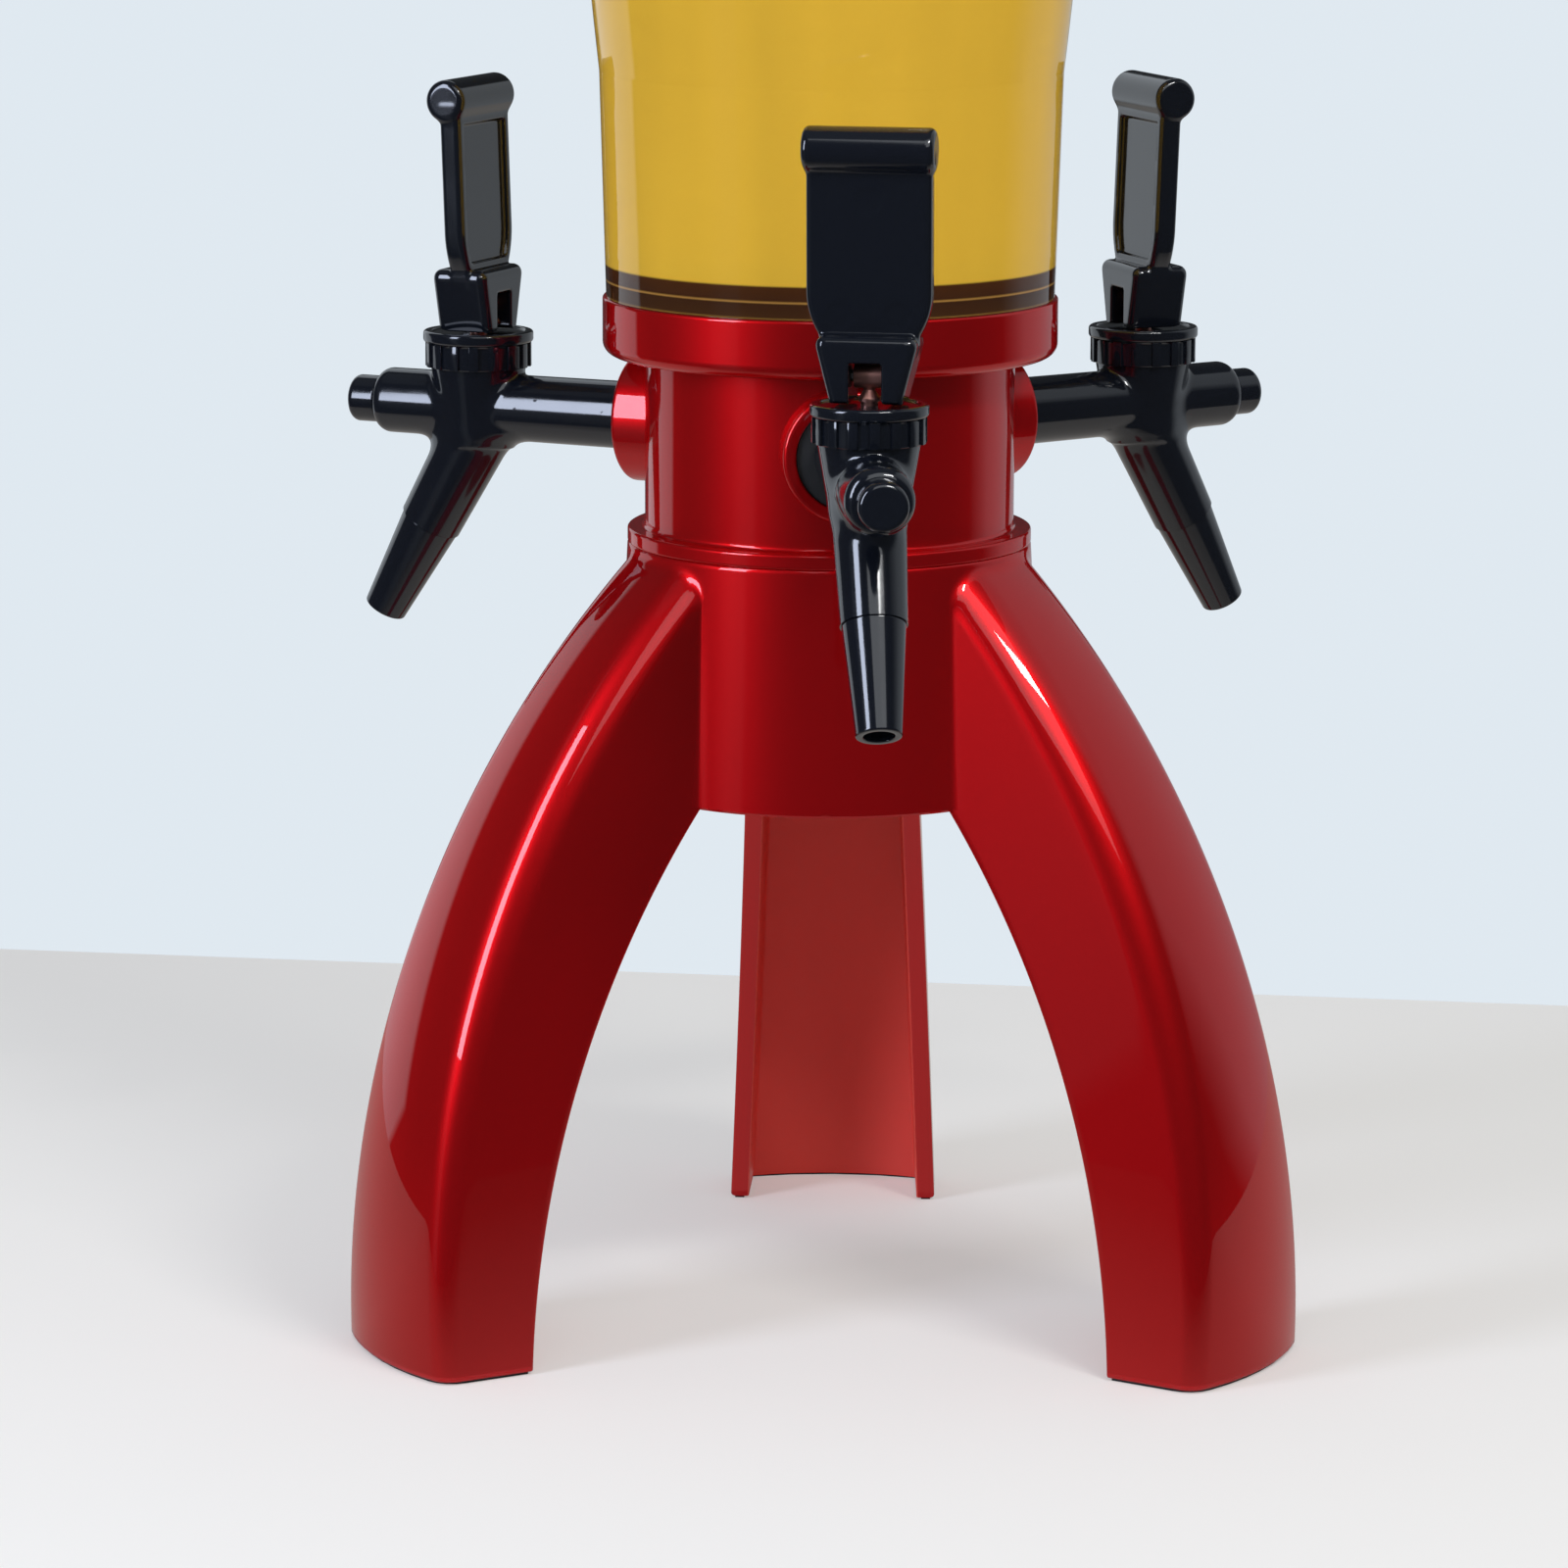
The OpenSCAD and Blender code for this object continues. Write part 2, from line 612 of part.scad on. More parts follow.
// Plug in the outer end of one shank
module end_plug(k) {
    tip = 2;
    outline = concat(
        [[0, shank_end - plug_spigot], [bore_r - run, shank_end - plug_spigot],
         [bore_r - run, shank_end], [plug_r, shank_end]],
        arc([plug_r - tip, shank_end + plug_len - tip], tip, 0, 90, 5),
        [[0, shank_end + plug_len]]);
    color(black) at_tap(k) about_shank(outline);
}

// Tapered tip that is pushed into one spout
module nozzle(k) {
    lip = 0.6;
    outline = [[nozzle_bore_r, -nozzle_spigot + run], [nozzle_spigot_r, -nozzle_spigot + run],
               [nozzle_spigot_r, 0], [nozzle_seam_r, 0], [nozzle_tip_r, nozzle_len - lip],
               [nozzle_tip_r - lip, nozzle_len], [nozzle_bore_r, nozzle_len]];
    color(black) at_tap(k) at_spout() translate([0, 0, spout_len]) rotate_extrude() polygon(outline);
}

// Washer between one shank and its boss
module gasket(k) {
    color(rubber) at_tap(k) rotate([0, 90, 0]) translate([0, 0, gasket_seat]) difference() {
        cylinder(r = gasket_r, h = gasket_t);
        translate([0, 0, -1]) cylinder(r = thread_r + slip, h = gasket_t + 2);
    }
}

// Ribbed screw cap of one valve chamber
module bonnet(k) {
    rib_root = bonnet_r - 1.4;
    rib_top = bonnet_r - 0.7;
    edge = 1.2;
    cap = concat(
        [[stem_r + run, bonnet_under], [rib_top + 0.1, bonnet_under]],
        arc([bonnet_r - edge, bonnet_under + edge], edge, -40, 0, 3),
        arc([bonnet_r - edge, bonnet_top - edge], edge, 0, 90, 4),
        [[stem_r + run, bonnet_top]]);
    color(black) at_tap(k) {
        about_valve(cap);
        translate([valve_at, 0, skirt_foot]) difference() {
            linear_extrude(bonnet_skirt + eps) union() {
                circle(r = rib_root);
                for (i = [0:bonnet_ribs - 1]) rotate(360 * i / bonnet_ribs)
                    translate([rib_root - 1, -rib_w / 2]) square([rib_top - rib_root + 1, rib_w]);
            }
            translate([0, 0, -1]) cylinder(r = neck_thread_r + slip / 2, h = bonnet_skirt + 2);
        }
    }
}

// Gland washer that seals one stem, held up by its spring
module stem_seal(k) {
    color(rubber) at_tap(k) translate([valve_at, 0, spring_top]) difference() {
        cylinder(r = seal_r, h = gland_t);
        translate([0, 0, -1]) cylinder(r = stem_r + run, h = gland_t + 2);
    }
}

// Turned stem of one valve: bead in the cup, spring flange, waist and cross-bored eye
module valve_stem(k) {
    above = bonnet_top + collar_up;
    waist = [1.6, above + 0.45 * (pin_z - above)];
    outline = [[0, stem_bead[0]], [stem_bead_r, stem_bead[0]], [stem_bead_r, stem_bead[1]],
               [stem_r, stem_bead[1]], [stem_r, cup_top], [cup_r - 0.7, cup_top],
               [cup_r - 0.7, spring_foot], [stem_r, spring_foot], [stem_r, above],
               [stem_r + 0.7, above], [stem_r + 0.7, above + 1], waist,
               [eye_r - 0.4, pin_z - 1.5], [0, pin_z]];
    color(steel) at_tap(k) difference() {
        union() {
            about_valve(outline);
            translate([valve_at, 0, pin_z]) rotate([0, 0, lever_turns[k]]) rotate([90, 0, 0])
                cylinder(r = eye_r, h = eye_w, center = true);
        }
        translate([valve_at, 0, pin_z]) rotate([0, 0, lever_turns[k]]) rotate([90, 0, 0])
            cylinder(r = pin_r + run / 2, h = far, center = true);
    }
}

// Rubber cup that closes one valve's seat
module seat_cup(k) {
    outline = [[0, cup_foot], [cup_r, cup_foot], [cup_r - 1.2, cup_top], [0, cup_top]];
    hole = [[0, stem_bead[0] - run], [stem_bead_r + run, stem_bead[0] - run],
            [stem_bead_r + run, stem_bead[1] + run], [stem_r + run, stem_bead[1] + run],
            [stem_r + run, cup_top + 1], [0, cup_top + 1]];
    color(rubber) at_tap(k) difference() {
        about_valve(outline);
        about_valve(hole);
    }
}

// Compression spring of one valve: a round wire on a helix
spring_sides = 6;
curl_rings = 8;
spring_play = 0.1;
spring_run = spring_top - spring_foot - wire_d - 2 * spring_play;
spring_rings = curls * curl_rings;
function spring_point(i) =
    [spring_r * cos(360 * i / curl_rings), spring_r * sin(360 * i / curl_rings),
     spring_foot + spring_play + wire_d / 2 + spring_run * i / spring_rings];
function wire_ring(i) =
    [for (j = [0:spring_sides - 1])
        let (a = 360 * j / spring_sides, out = spring_point(i), n = [out.x, out.y, 0] / spring_r)
        out + wire_d / 2 * (cos(a) * n - [0, 0, sin(a)])];
spring_gap = min([for (i = [0:spring_rings - curl_rings])
    norm(spring_point(i + curl_rings) - spring_point(i)) - wire_d]);
echo(str("least gap between the spring's curls: ", spring_gap, " mm"));

module valve_spring(k) {
    color(steel) at_tap(k) translate([valve_at, 0, 0])
        loft([for (i = [0:spring_rings]) wire_ring(i)]);
}

// Frame of one lever: origin at its pin, X outward, turned about the stem
module at_lever(k) {
    at_tap(k) translate([valve_at, 0, pin_z]) rotate([0, 0, lever_turns[k]]) children();
}

module lever_pin(k) {
    color(steel) at_lever(k) rotate([90, 0, 0]) cylinder(r = pin_r, h = pin_len, center = true);
}

// Extrusion along X of an outline in Y and Z
module along_x(depth) {
    rotate([90, 0, 90]) linear_extrude(depth, center = true) children();
}

// Extrusion along Y of an outline in X and Z
module along_y(depth) {
    rotate([90, 0, 0]) linear_extrude(depth, center = true) children();
}

// Fork of the lever: wide at the top, with a rolling foot and a slot for the stem
module fork() {
    top = fork_top_w / 2;
    foot = fork_foot_w / 2;
    d = fork_depth / 2;
    roll_end = asin((d - cam_start) / cam_r);
    front = concat(
        [[-foot, fork_foot], [foot, fork_foot]],
        arc([top - fork_round, fork_up - fork_round], fork_round, 0, 90, 5),
        arc([fork_round - top, fork_up - fork_round], fork_round, 90, 180, 5));
    side = concat(
        [[-d, fork_foot + 1], [1 - d, fork_foot]],
        arc([cam_start, fork_foot + cam_r], cam_r, -90, roll_end - 90, 6),
        arc([d - fork_round, fork_up - fork_round], fork_round, 0, 90, 5),
        arc([fork_round - d, fork_up - fork_round], fork_round, 90, 180, 5));
    difference() {
        intersection() {
            along_x(3 * d) polygon(front);
            along_y(3 * top) polygon(side);
        }
        along_x(4 * d) translate([-slot_w / 2, fork_foot - 1]) square([slot_w, slot_up - fork_foot + 1]);
        rotate([90, 0, 0]) cylinder(r = pin_r + run, h = pin_len + 4 * run, center = true);
    }
}

// Paddle of the lever, framed on its inner face, with the roll along its top.
// Its sides run down flush into the fork's shoulders.
module paddle() {
    half = paddle_w / 2;
    root = fork_top_w / 2 + 0.25;
    foot_z = fork_up - fork_round;
    low_z = max(slot_up + 0.6, foot_z - 4);
    low = fork_top_w / 2 - 1.6;
    panel_foot = fork_up + 2;
    panel_top = roll_up - roll_r - 1;
    inner = half - panel_frame;
    side = concat(
        [[low, low_z]],
        [for (i = [0:paddle_steps]) let (s = i / paddle_steps)
            [root + (half - root) * (1 - pow(1 - s, 2)), fork_up + paddle_taper * s]],
        [[half, roll_up]]);
    outline = concat(side, [for (i = [len(side) - 1:-1:0]) [-side[i].x, side[i].y]]);
    panel = [[panel_frame - root, panel_foot], [root - panel_frame, panel_foot],
             [inner, fork_up + paddle_taper], [inner, panel_top], [-inner, panel_top],
             [-inner, fork_up + paddle_taper]];
    marks = [[-mark_low.x, fork_up + mark_low.y], [mark_low.x, fork_up + mark_low.y],
             [0, fork_up + mark_high]];
    roll = concat([[0, -roll_len / 2]],
                  arc([roll_r - roll_edge, roll_edge - roll_len / 2], roll_edge, -90, 0, 4),
                  arc([roll_r - roll_edge, roll_len / 2 - roll_edge], roll_edge, 0, 90, 4),
                  [[0, roll_len / 2]]);
    translate([paddle_shift, 0, foot_z]) rotate([0, paddle_lean, 0]) translate([0, 0, -foot_z]) {
        difference() {
            along_x(paddle_t) polygon(outline);
            translate([-paddle_t / 2, 0, 0]) along_x(2 * panel_in) polygon(panel);
            for (m = marks) translate([paddle_t / 2, m.x, m.y]) rotate([0, 90, 0])
                cylinder(r = mark_r, h = 2 * mark_in, center = true, $fn = 48);
        }
        translate([roll_shift, 0, roll_up]) rotate([90, 0, 0]) rotate_extrude() polygon(roll);
    }
}

module lever(k) {
    color(black) at_lever(k) union() {
        fork();
        paddle();
    }
}

base_stand();
for (k = [0:2]) {
    foot_pad(k);
}
tap_ring();
barrel();
barrel_seal();
lid();
lid_knob();
lid_screw();
shank_nuts();
for (k = [0:2]) {
    tap_body(k);
    end_plug(k);
    nozzle(k);
    gasket(k);
    bonnet(k);
    stem_seal(k);
    valve_stem(k);
    seat_cup(k);
    valve_spring(k);
    lever_pin(k);
    lever(k);
}
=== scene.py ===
# %% [markdown]
# # A table-top drink tower with three lever taps
#
# The tower is a clear barrel on a ring of taps, carried by a stand with three
# arched legs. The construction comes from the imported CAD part. This notebook
# gives each visible piece the surface that the real one has: moulded legs with
# a soft crown, plastic taps that flow together, turned rims and glossy paint.
#
# Every piece is modelled in millimetres in the frame of the CAD part and scaled
# to metres when its mesh is made, so all finished objects sit at the origin.

# %% Set-up
import math
import bmesh
import bpy
import numpy as np
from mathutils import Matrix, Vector


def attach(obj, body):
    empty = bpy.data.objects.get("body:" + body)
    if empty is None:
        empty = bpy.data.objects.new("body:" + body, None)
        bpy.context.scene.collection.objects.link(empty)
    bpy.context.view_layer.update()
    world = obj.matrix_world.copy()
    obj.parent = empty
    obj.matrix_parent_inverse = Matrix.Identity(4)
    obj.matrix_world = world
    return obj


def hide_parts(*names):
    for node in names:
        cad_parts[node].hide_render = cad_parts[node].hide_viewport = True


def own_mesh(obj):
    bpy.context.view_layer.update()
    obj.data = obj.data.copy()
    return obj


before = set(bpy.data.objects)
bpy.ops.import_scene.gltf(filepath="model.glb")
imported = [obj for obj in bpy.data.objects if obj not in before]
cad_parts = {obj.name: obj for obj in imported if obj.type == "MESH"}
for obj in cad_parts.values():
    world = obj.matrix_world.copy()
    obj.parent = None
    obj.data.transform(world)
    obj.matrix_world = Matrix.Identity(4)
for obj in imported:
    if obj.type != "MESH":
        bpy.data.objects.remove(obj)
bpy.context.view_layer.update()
MM = 0.001
# Points on a turning axis keep this radius, so that no face there is without area.
ON_AXIS = 0.01
# Directions about Z in degrees; a lever is also turned about its own stem.
TAPS = {"front": 276.4, "left": 156.4, "right": 36.4}
LEVER_TURNS = {"front": -15, "left": 2, "right": -15}
LEGS = {"left": 210, "right": 330, "rear": 90}

# %% [markdown]
# ## Small tools
#
# Most pieces are either a grid of points bent into shape or a profile turned
# about an axis, as on a lathe. `grid_faces` joins the rows of such a grid with
# quads. `mesh_object` makes the object and marks sharp edges by their angle, and
# `piece` gives it its material, hides the CAD nodes it stands for and hangs it on its body.

# %% Tools for grids and turned shapes
def grid_faces(rows, columns, closed=False):
    """Quads between neighbouring rows of a grid of points."""
    last = columns if closed else columns - 1
    faces = []
    for r in range(rows - 1):
        for c in range(last):
            a = r * columns + c
            b = r * columns + (c + 1) % columns
            faces.append((a, b, b + columns, a + columns))
    return faces


def grid(rows, closed=False):
    """Shell from the rows of a grid of points."""
    return [p for row in rows for p in row], grid_faces(len(rows), len(rows[0]), closed)


def join(*shells):
    """One list of points and one of faces from several (points, faces) shells."""
    points = []
    faces = []
    for shell_points, shell_faces in shells:
        start = len(points)
        points.extend(shell_points)
        faces.extend(tuple(i + start for i in f) for f in shell_faces)
    return points, faces


def guarded(profile, near=0.25):
    """Adds points close to both ends of long lines, so that shading stays flat between them."""
    points = [tuple(profile[0])]
    for end in profile[1:]:
        start = points[-1]
        length = math.dist(start, end)
        if length > 8 * near:
            for part in (near / length, 1 - near / length):
                points.append(tuple(a + part * (b - a) for a, b in zip(start, end)))
        points.append(tuple(end))
    return points


def turned(profile, segments):
    """Shell made by turning (radius, height) points about Z; they run upward on the outside."""
    profile = guarded(profile)
    angles = [2 * math.pi * i / segments for i in range(segments)]
    points = [(r * math.cos(a), r * math.sin(a), z) for r, z in profile for a in angles]
    return points, grid_faces(len(profile), segments, closed=True)


def arc(cx, cy, radius, a0, a1, steps):
    """Points on an arc, in degrees."""
    angles = np.radians(np.linspace(a0, a1, steps + 1))
    return [(cx + radius * math.cos(a), cy + radius * math.sin(a)) for a in angles]


def placed(shell, matrix, shift):
    """A shell turned by a 3 x 3 matrix and then moved."""
    points, faces = shell
    moved = np.asarray(points) @ np.asarray(matrix).T + np.asarray(shift)
    return [tuple(p) for p in moved], faces


def spin(angle):
    """Rotation about Z by an angle in degrees."""
    c, s = math.cos(math.radians(angle)), math.sin(math.radians(angle))
    return np.array([[c, -s, 0], [s, c, 0], [0, 0, 1]])


def lean(angle):
    """Rotation about Y by an angle in degrees."""
    c, s = math.cos(math.radians(angle)), math.sin(math.radians(angle))
    return np.array([[c, 0, s], [0, 1, 0], [-s, 0, c]])


def new_object(name, mesh):
    """Object for a mesh, linked to the scene."""
    obj = bpy.data.objects.new(name, mesh)
    bpy.context.scene.collection.objects.link(obj)
    return obj


def mesh_object(name, shell, sharp, weld=0.001):
    """Object from a shell in millimetres, welded, shaded smooth up to the angle sharp."""
    points, faces = shell
    mesh = bpy.data.meshes.new(name)
    mesh.from_pydata([tuple(MM * c for c in p) for p in points], [], faces)
    if weld:
        work = bmesh.new()
        work.from_mesh(mesh)
        bmesh.ops.remove_doubles(work, verts=work.verts, dist=weld * MM)
        work.to_mesh(mesh)
        work.free()
    mesh.shade_smooth()
    mesh.set_sharp_from_angle(angle=math.radians(sharp))
    return new_object(name, mesh)


def piece(obj, nodes, body, material):
    """Gives a finished object its material, hides the CAD nodes it stands for, hangs it on its body and
    prints its size.
    """
    obj.data.materials.clear()
    obj.data.materials.append(material)
    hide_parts(*nodes)
    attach(obj, body)
    low = [min(v.co[i] for v in obj.data.vertices) / MM for i in range(3)]
    high = [max(v.co[i] for v in obj.data.vertices) / MM for i in range(3)]
    size = " x ".join(f"{b - a:.1f}" for a, b in zip(low, high))
    print(f"{obj.name}: {len(obj.data.polygons)} faces, {size} mm")
    return obj


# %% [markdown]
# ## Materials
#
# The red is a metallic lacquer: a coloured, slightly rough metal layer with fine
# flakes under a clear, sharp coat. The taps are glossy black plastic, the washers
# and pads are rubber, the stems turned metal, whose reddish tint is partly a painted
# reflection of the red ring. The barrel is clear plastic that bends the view like
# thick glass, so the drink seems to fill it to its edge.

# %% Materials
def new_material(name, settings):
    """A node material; returns it, its node tree and its principled shader with the settings made."""
    material = bpy.data.materials.new(name)
    material.use_nodes = True
    tree = material.node_tree
    shader = tree.nodes["Principled BSDF"]
    for socket, value in settings.items():
        shader.inputs[socket].default_value = value
    return material, tree, shader


def vary(tree, source, target, low, high):
    """Spreads a noise value over a range and sends it to a socket."""
    spread = tree.nodes.new("ShaderNodeMapRange")
    spread.inputs["To Min"].default_value = low
    spread.inputs["To Max"].default_value = high
    tree.links.new(source, spread.inputs["Value"])
    tree.links.new(spread.outputs["Result"], target)


def grained(name, settings, scale, detail, rough, relief=None):
    """A material with fine grain in its roughness and, where asked for, in its relief."""
    material, tree, shader = new_material(name, settings)
    where = tree.nodes.new("ShaderNodeTexCoord")
    grain = tree.nodes.new("ShaderNodeTexNoise")
    grain.inputs["Scale"].default_value = scale
    grain.inputs["Detail"].default_value = detail
    tree.links.new(where.outputs["Object"], grain.inputs["Vector"])
    vary(tree, grain.outputs["Fac"], shader.inputs["Roughness"], *rough)
    if relief:
        bump = tree.nodes.new("ShaderNodeBump")
        strength, distance = relief
        bump.inputs["Strength"].default_value = strength
        bump.inputs["Distance"].default_value = distance
        tree.links.new(grain.outputs["Fac"], bump.inputs["Height"])
        tree.links.new(bump.outputs["Normal"], shader.inputs["Normal"])
    return material


red = grained("red_lacquer", {
    "Base Color": (0.60, 0.0045, 0.007, 1), "Metallic": 0.8, "Specular IOR Level": 0.0,
    "Specular Tint": (1.0, 0.25, 0.25, 1), "Coat Weight": 0.9, "Coat Roughness": 0.02,
}, scale=2600, detail=1, rough=(0.35, 0.47))
bare = grained("bare_red_plastic", {
    "Base Color": (0.82, 0.078, 0.056, 1), "Specular IOR Level": 0.3,
}, scale=500, detail=2, rough=(0.42, 0.55))
black = grained("black_plastic", {
    "Base Color": (0.005, 0.0062, 0.01, 1), "Specular IOR Level": 0.75,
}, scale=90, detail=3, rough=(0.06, 0.16), relief=(0.03, 0.00015))
rubber = grained("rubber", {
    "Base Color": (0.012, 0.012, 0.013, 1),
}, scale=700, detail=2, rough=(0.55, 0.75))
steel = grained("turned_steel", {
    "Base Color": (0.58, 0.55, 0.53, 1), "Metallic": 1.0,
}, scale=900, detail=2, rough=(0.18, 0.32))
# The stems' reddish tint is partly a painted reflection of the red ring around them.
brass_painted_reflection = grained("brass_painted_red_reflection", {
    "Base Color": (0.88, 0.44, 0.37, 1), "Metallic": 1.0,
}, scale=900, detail=2, rough=(0.38, 0.5))
clear, _, _ = new_material("clear_plastic", {
    "Base Color": (0.97, 0.975, 0.97, 1), "Roughness": 0.01, "IOR": 1.46, "Transmission Weight": 1.0,
})
print("materials:", [m.name for m in (red, bare, black, rubber, steel, brass_painted_reflection, clear)])

# %% [markdown]
# The drink glows with painted light of its own, which stands in for the light that
# comes through it from behind. Just above the collar the view goes down to the red
# ring below, and that view is painted into the drink's colour as brown bands.

# %% The drink's material
# Between these two heights, in metres, the drink's colour changes in bands that paint the view of the red
# ring below and its edge.
RING_VIEW_FROM, RING_VIEW_TO = 0.318, 0.338
PAINTED_RING_VIEW = [(0.00, (0.46, 0.24, 0.05)), (0.07, (0.055, 0.022, 0.008)), (0.27, (0.045, 0.017, 0.007)),
         (0.29, (0.42, 0.22, 0.05)), (0.32, (0.050, 0.018, 0.007)), (0.52, (0.060, 0.020, 0.006)),
         (0.55, (0.70, 0.43, 0.042)), (1.00, (0.70, 0.43, 0.042))]
STREAKS = (24, 24, 3)


def object_axes(tree):
    """Texture coordinates of the piece's own place, whole and as X, Y and Z."""
    where = tree.nodes.new("ShaderNodeTexCoord")
    axes = tree.nodes.new("ShaderNodeSeparateXYZ")
    tree.links.new(where.outputs["Object"], axes.inputs["Vector"])
    return where.outputs["Object"], axes.outputs


def between(tree, source, low, high):
    """0 up to the value low, 1 from the value high on."""
    part = tree.nodes.new("ShaderNodeMapRange")
    part.inputs["From Min"].default_value = low
    part.inputs["From Max"].default_value = high
    tree.links.new(source, part.inputs["Value"])
    return part.outputs["Result"]


def color_ramp(tree, source, stops):
    """Colours along a value, from (place, colour) stops; the first is at 0 and the last at 1."""
    node = tree.nodes.new("ShaderNodeValToRGB")
    elements = node.color_ramp.elements
    for place, color in stops[1:-1]:
        stop = elements.new(place)
        stop.color = (*color, 1)
    elements[0].color = (*stops[0][1], 1)
    elements[-1].color = (*stops[-1][1], 1)
    tree.links.new(source, node.inputs["Fac"])
    return node.outputs["Color"]


beer, tree, shader = new_material("drink", {"Specular IOR Level": 0.0, "Roughness": 0.5})
place, axes = object_axes(tree)
tone = color_ramp(tree, between(tree, axes["Z"], RING_VIEW_FROM, RING_VIEW_TO), PAINTED_RING_VIEW)
lit = tree.nodes.new("ShaderNodeVectorMath")
lit.operation = "SCALE"
tree.links.new(tone, lit.inputs["Vector"])
tree.links.new(lit.outputs["Vector"], shader.inputs["Base Color"])
# Painted glow: the drink shines with light of its own.
tree.links.new(tone, shader.inputs["Emission Color"])
streaks = tree.nodes.new("ShaderNodeVectorMath")
streaks.operation = "MULTIPLY"
streaks.inputs[1].default_value = STREAKS
tree.links.new(place, streaks.inputs[0])
# Painted light: this noise makes the drink's colour and glow brighter and darker in upright streaks, which
# stand in for reflections and bends of the view in the barrel's wall.
painted_light_streaks = tree.nodes.new("ShaderNodeTexNoise")
painted_light_streaks.inputs["Scale"].default_value = 1.0
tree.links.new(streaks.outputs["Vector"], painted_light_streaks.inputs["Vector"])
vary(tree, painted_light_streaks.outputs["Fac"], lit.inputs["Scale"], 0.45, 0.65)
vary(tree, painted_light_streaks.outputs["Fac"], shader.inputs["Emission Strength"], 0.4, 0.72)
print("stops of the drink's colour:", len(PAINTED_RING_VIEW))

# %% [markdown]
# ## The stand
#
# The stand is one moulding. A leg is a hollow channel: its crown and its inner
# edge follow two large arcs, and its sides draw in towards the top so that the
# piece leaves the mould. At each height the outline is a shallow crown, two
# rounded corners, softer towards the top, and two straight sides. Above the
# hub's lower edge those sides run into the round hub with a small fillet.
#
# The outline is written as a radius for every direction from the axis, so hub and
# leg can be joined by a soft maximum of the two radii. That gives the fillet
# without any cutting of meshes, and a clean grid for the glossy paint.

# %% Sizes of the stand and its outlines
BASE_H, HUB_TOP, HUB_FOOT, HUB_H, HUB_WALL = 243.0, 62.4, 66.3, 75.0, 3.5
FOOT_R, CROWN_ARC, FOOT_W, DRAFT = 156.0, 322.0, 68.5, 2.35
CROWN_R, CORNER_FOOT, CORNER_TOP = 95.0, 7.5, 14.5
LEG_WALL, SIDE_WALL, INNER_DRAFT, INNER_CORNER = 4.5, 6.0, 0.6, 1.5
ARCH_FOOT, ARCH_ARC, PAD, FILLET = 119.8, 305.0, 0.8, 1.75
# Opening for the ring's neck: its radius and depth, and the wider radius below it.
NECK_R, NECK_H, UNDERCUT_R = 50.0, 18.0, 53.5
CROWN_POINTS, CORNER_POINTS, SIDE_POINTS = 17, 13, 17
HUB_Z = BASE_H - HUB_H


def hub_r(z):
    """Radius of the tapered hub."""
    return HUB_TOP + (HUB_FOOT - HUB_TOP) * (BASE_H - z) / HUB_H


def half_w(z):
    """Half the width of a leg."""
    return FOOT_W / 2 - z * math.tan(math.radians(DRAFT))


def arc_centre(p, q, radius):
    """Centre of the arc from p to q that bulges outward."""
    dx, dz = q[0] - p[0], q[1] - p[1]
    span = math.hypot(dx, dz)
    h = math.sqrt(radius * radius - span * span / 4)
    return (p[0] + q[0]) / 2 - h * dz / span, (p[1] + q[1]) / 2 + h * dx / span


JOIN_Z = HUB_Z + 0.8
ARCH_TOP = math.sqrt((hub_r(JOIN_Z) - HUB_WALL / 2) ** 2 - half_w(JOIN_Z) ** 2)
CROWN_C = arc_centre((FOOT_R, 0), (hub_r(BASE_H - 3), BASE_H - 3), CROWN_ARC)
ARCH_C = arc_centre((ARCH_FOOT, 0), (ARCH_TOP, JOIN_Z), ARCH_ARC)


def crown_at(z):
    """Distance of a leg's crown from the axis."""
    return CROWN_C[0] + math.sqrt(CROWN_ARC ** 2 - (z - CROWN_C[1]) ** 2)


def arch_at(z):
    """Distance of a leg's inner edge from the axis."""
    return ARCH_C[0] + math.sqrt(ARCH_ARC ** 2 - (z - ARCH_C[1]) ** 2)


def leg_half(z, inset, inner_x):
    """Half an outline, from the crown's middle to the inner end of the side."""
    w = half_w(z) - inset
    corner_r = CORNER_FOOT + (CORNER_TOP - CORNER_FOOT) * z / BASE_H
    k, r = CROWN_R - inset, corner_r - inset
    axis = crown_at(z) - CROWN_R
    fx = axis + math.sqrt((k - r) ** 2 - (w - r) ** 2)
    turn = math.atan2(w - r, fx - axis)
    crown = [(axis + k * math.cos(a), k * math.sin(a)) for a in np.linspace(0, turn, CROWN_POINTS)]
    corner = [(fx + r * math.cos(a), w - r + r * math.sin(a))
              for a in np.linspace(turn, math.pi / 2, CORNER_POINTS)[1:]]
    end = min(inner_x, fx - 1)
    # Along the side the points stand closer towards its inner end.
    side = [(fx + (end - fx) * s, w) for s in np.linspace(0, 1, SIDE_POINTS)[1:] ** 0.8]
    return crown + corner + side


print(f"leg at the foot: {FOOT_W:.1f} wide, at the rim: {2 * half_w(BASE_H):.1f} mm")

# %% [markdown]
# The hub part of the stand is a closed ring of outlines. Each leg takes a third
# of the way round; between the legs the outline is the hub itself.

# %% Hub with the tops of the legs
def soft_max(a, b, k):
    """The larger of two values, with a rounded change-over of the width k."""
    h = max(k - abs(a - b), 0) / k
    return max(a, b) + h * h * k / 4


def hub_row(z, shrink=0.0):
    """Closed outline of hub and legs at the height z."""
    ring = hub_r(z)
    w = half_w(z)
    half = leg_half(z, 0.0, math.sqrt((ring - FILLET) ** 2 - w * w))
    polar = []
    for x, y in half:
        reach = soft_max(math.hypot(x, y), ring, FILLET) - shrink
        polar.append((math.atan2(y, x), reach))
    end = polar[-1][0]
    for a in np.linspace(end, math.pi / 3, 13)[1:]:
        polar.append((a, ring - shrink))
    third = [(-a, r) for a, r in reversed(polar[1:-1])] + polar
    row = []
    for turn in sorted(LEGS.values()):
        for a, r in third:
            b = a + math.radians(turn)
            row.append((r * math.cos(b), r * math.sin(b), z))
    return row


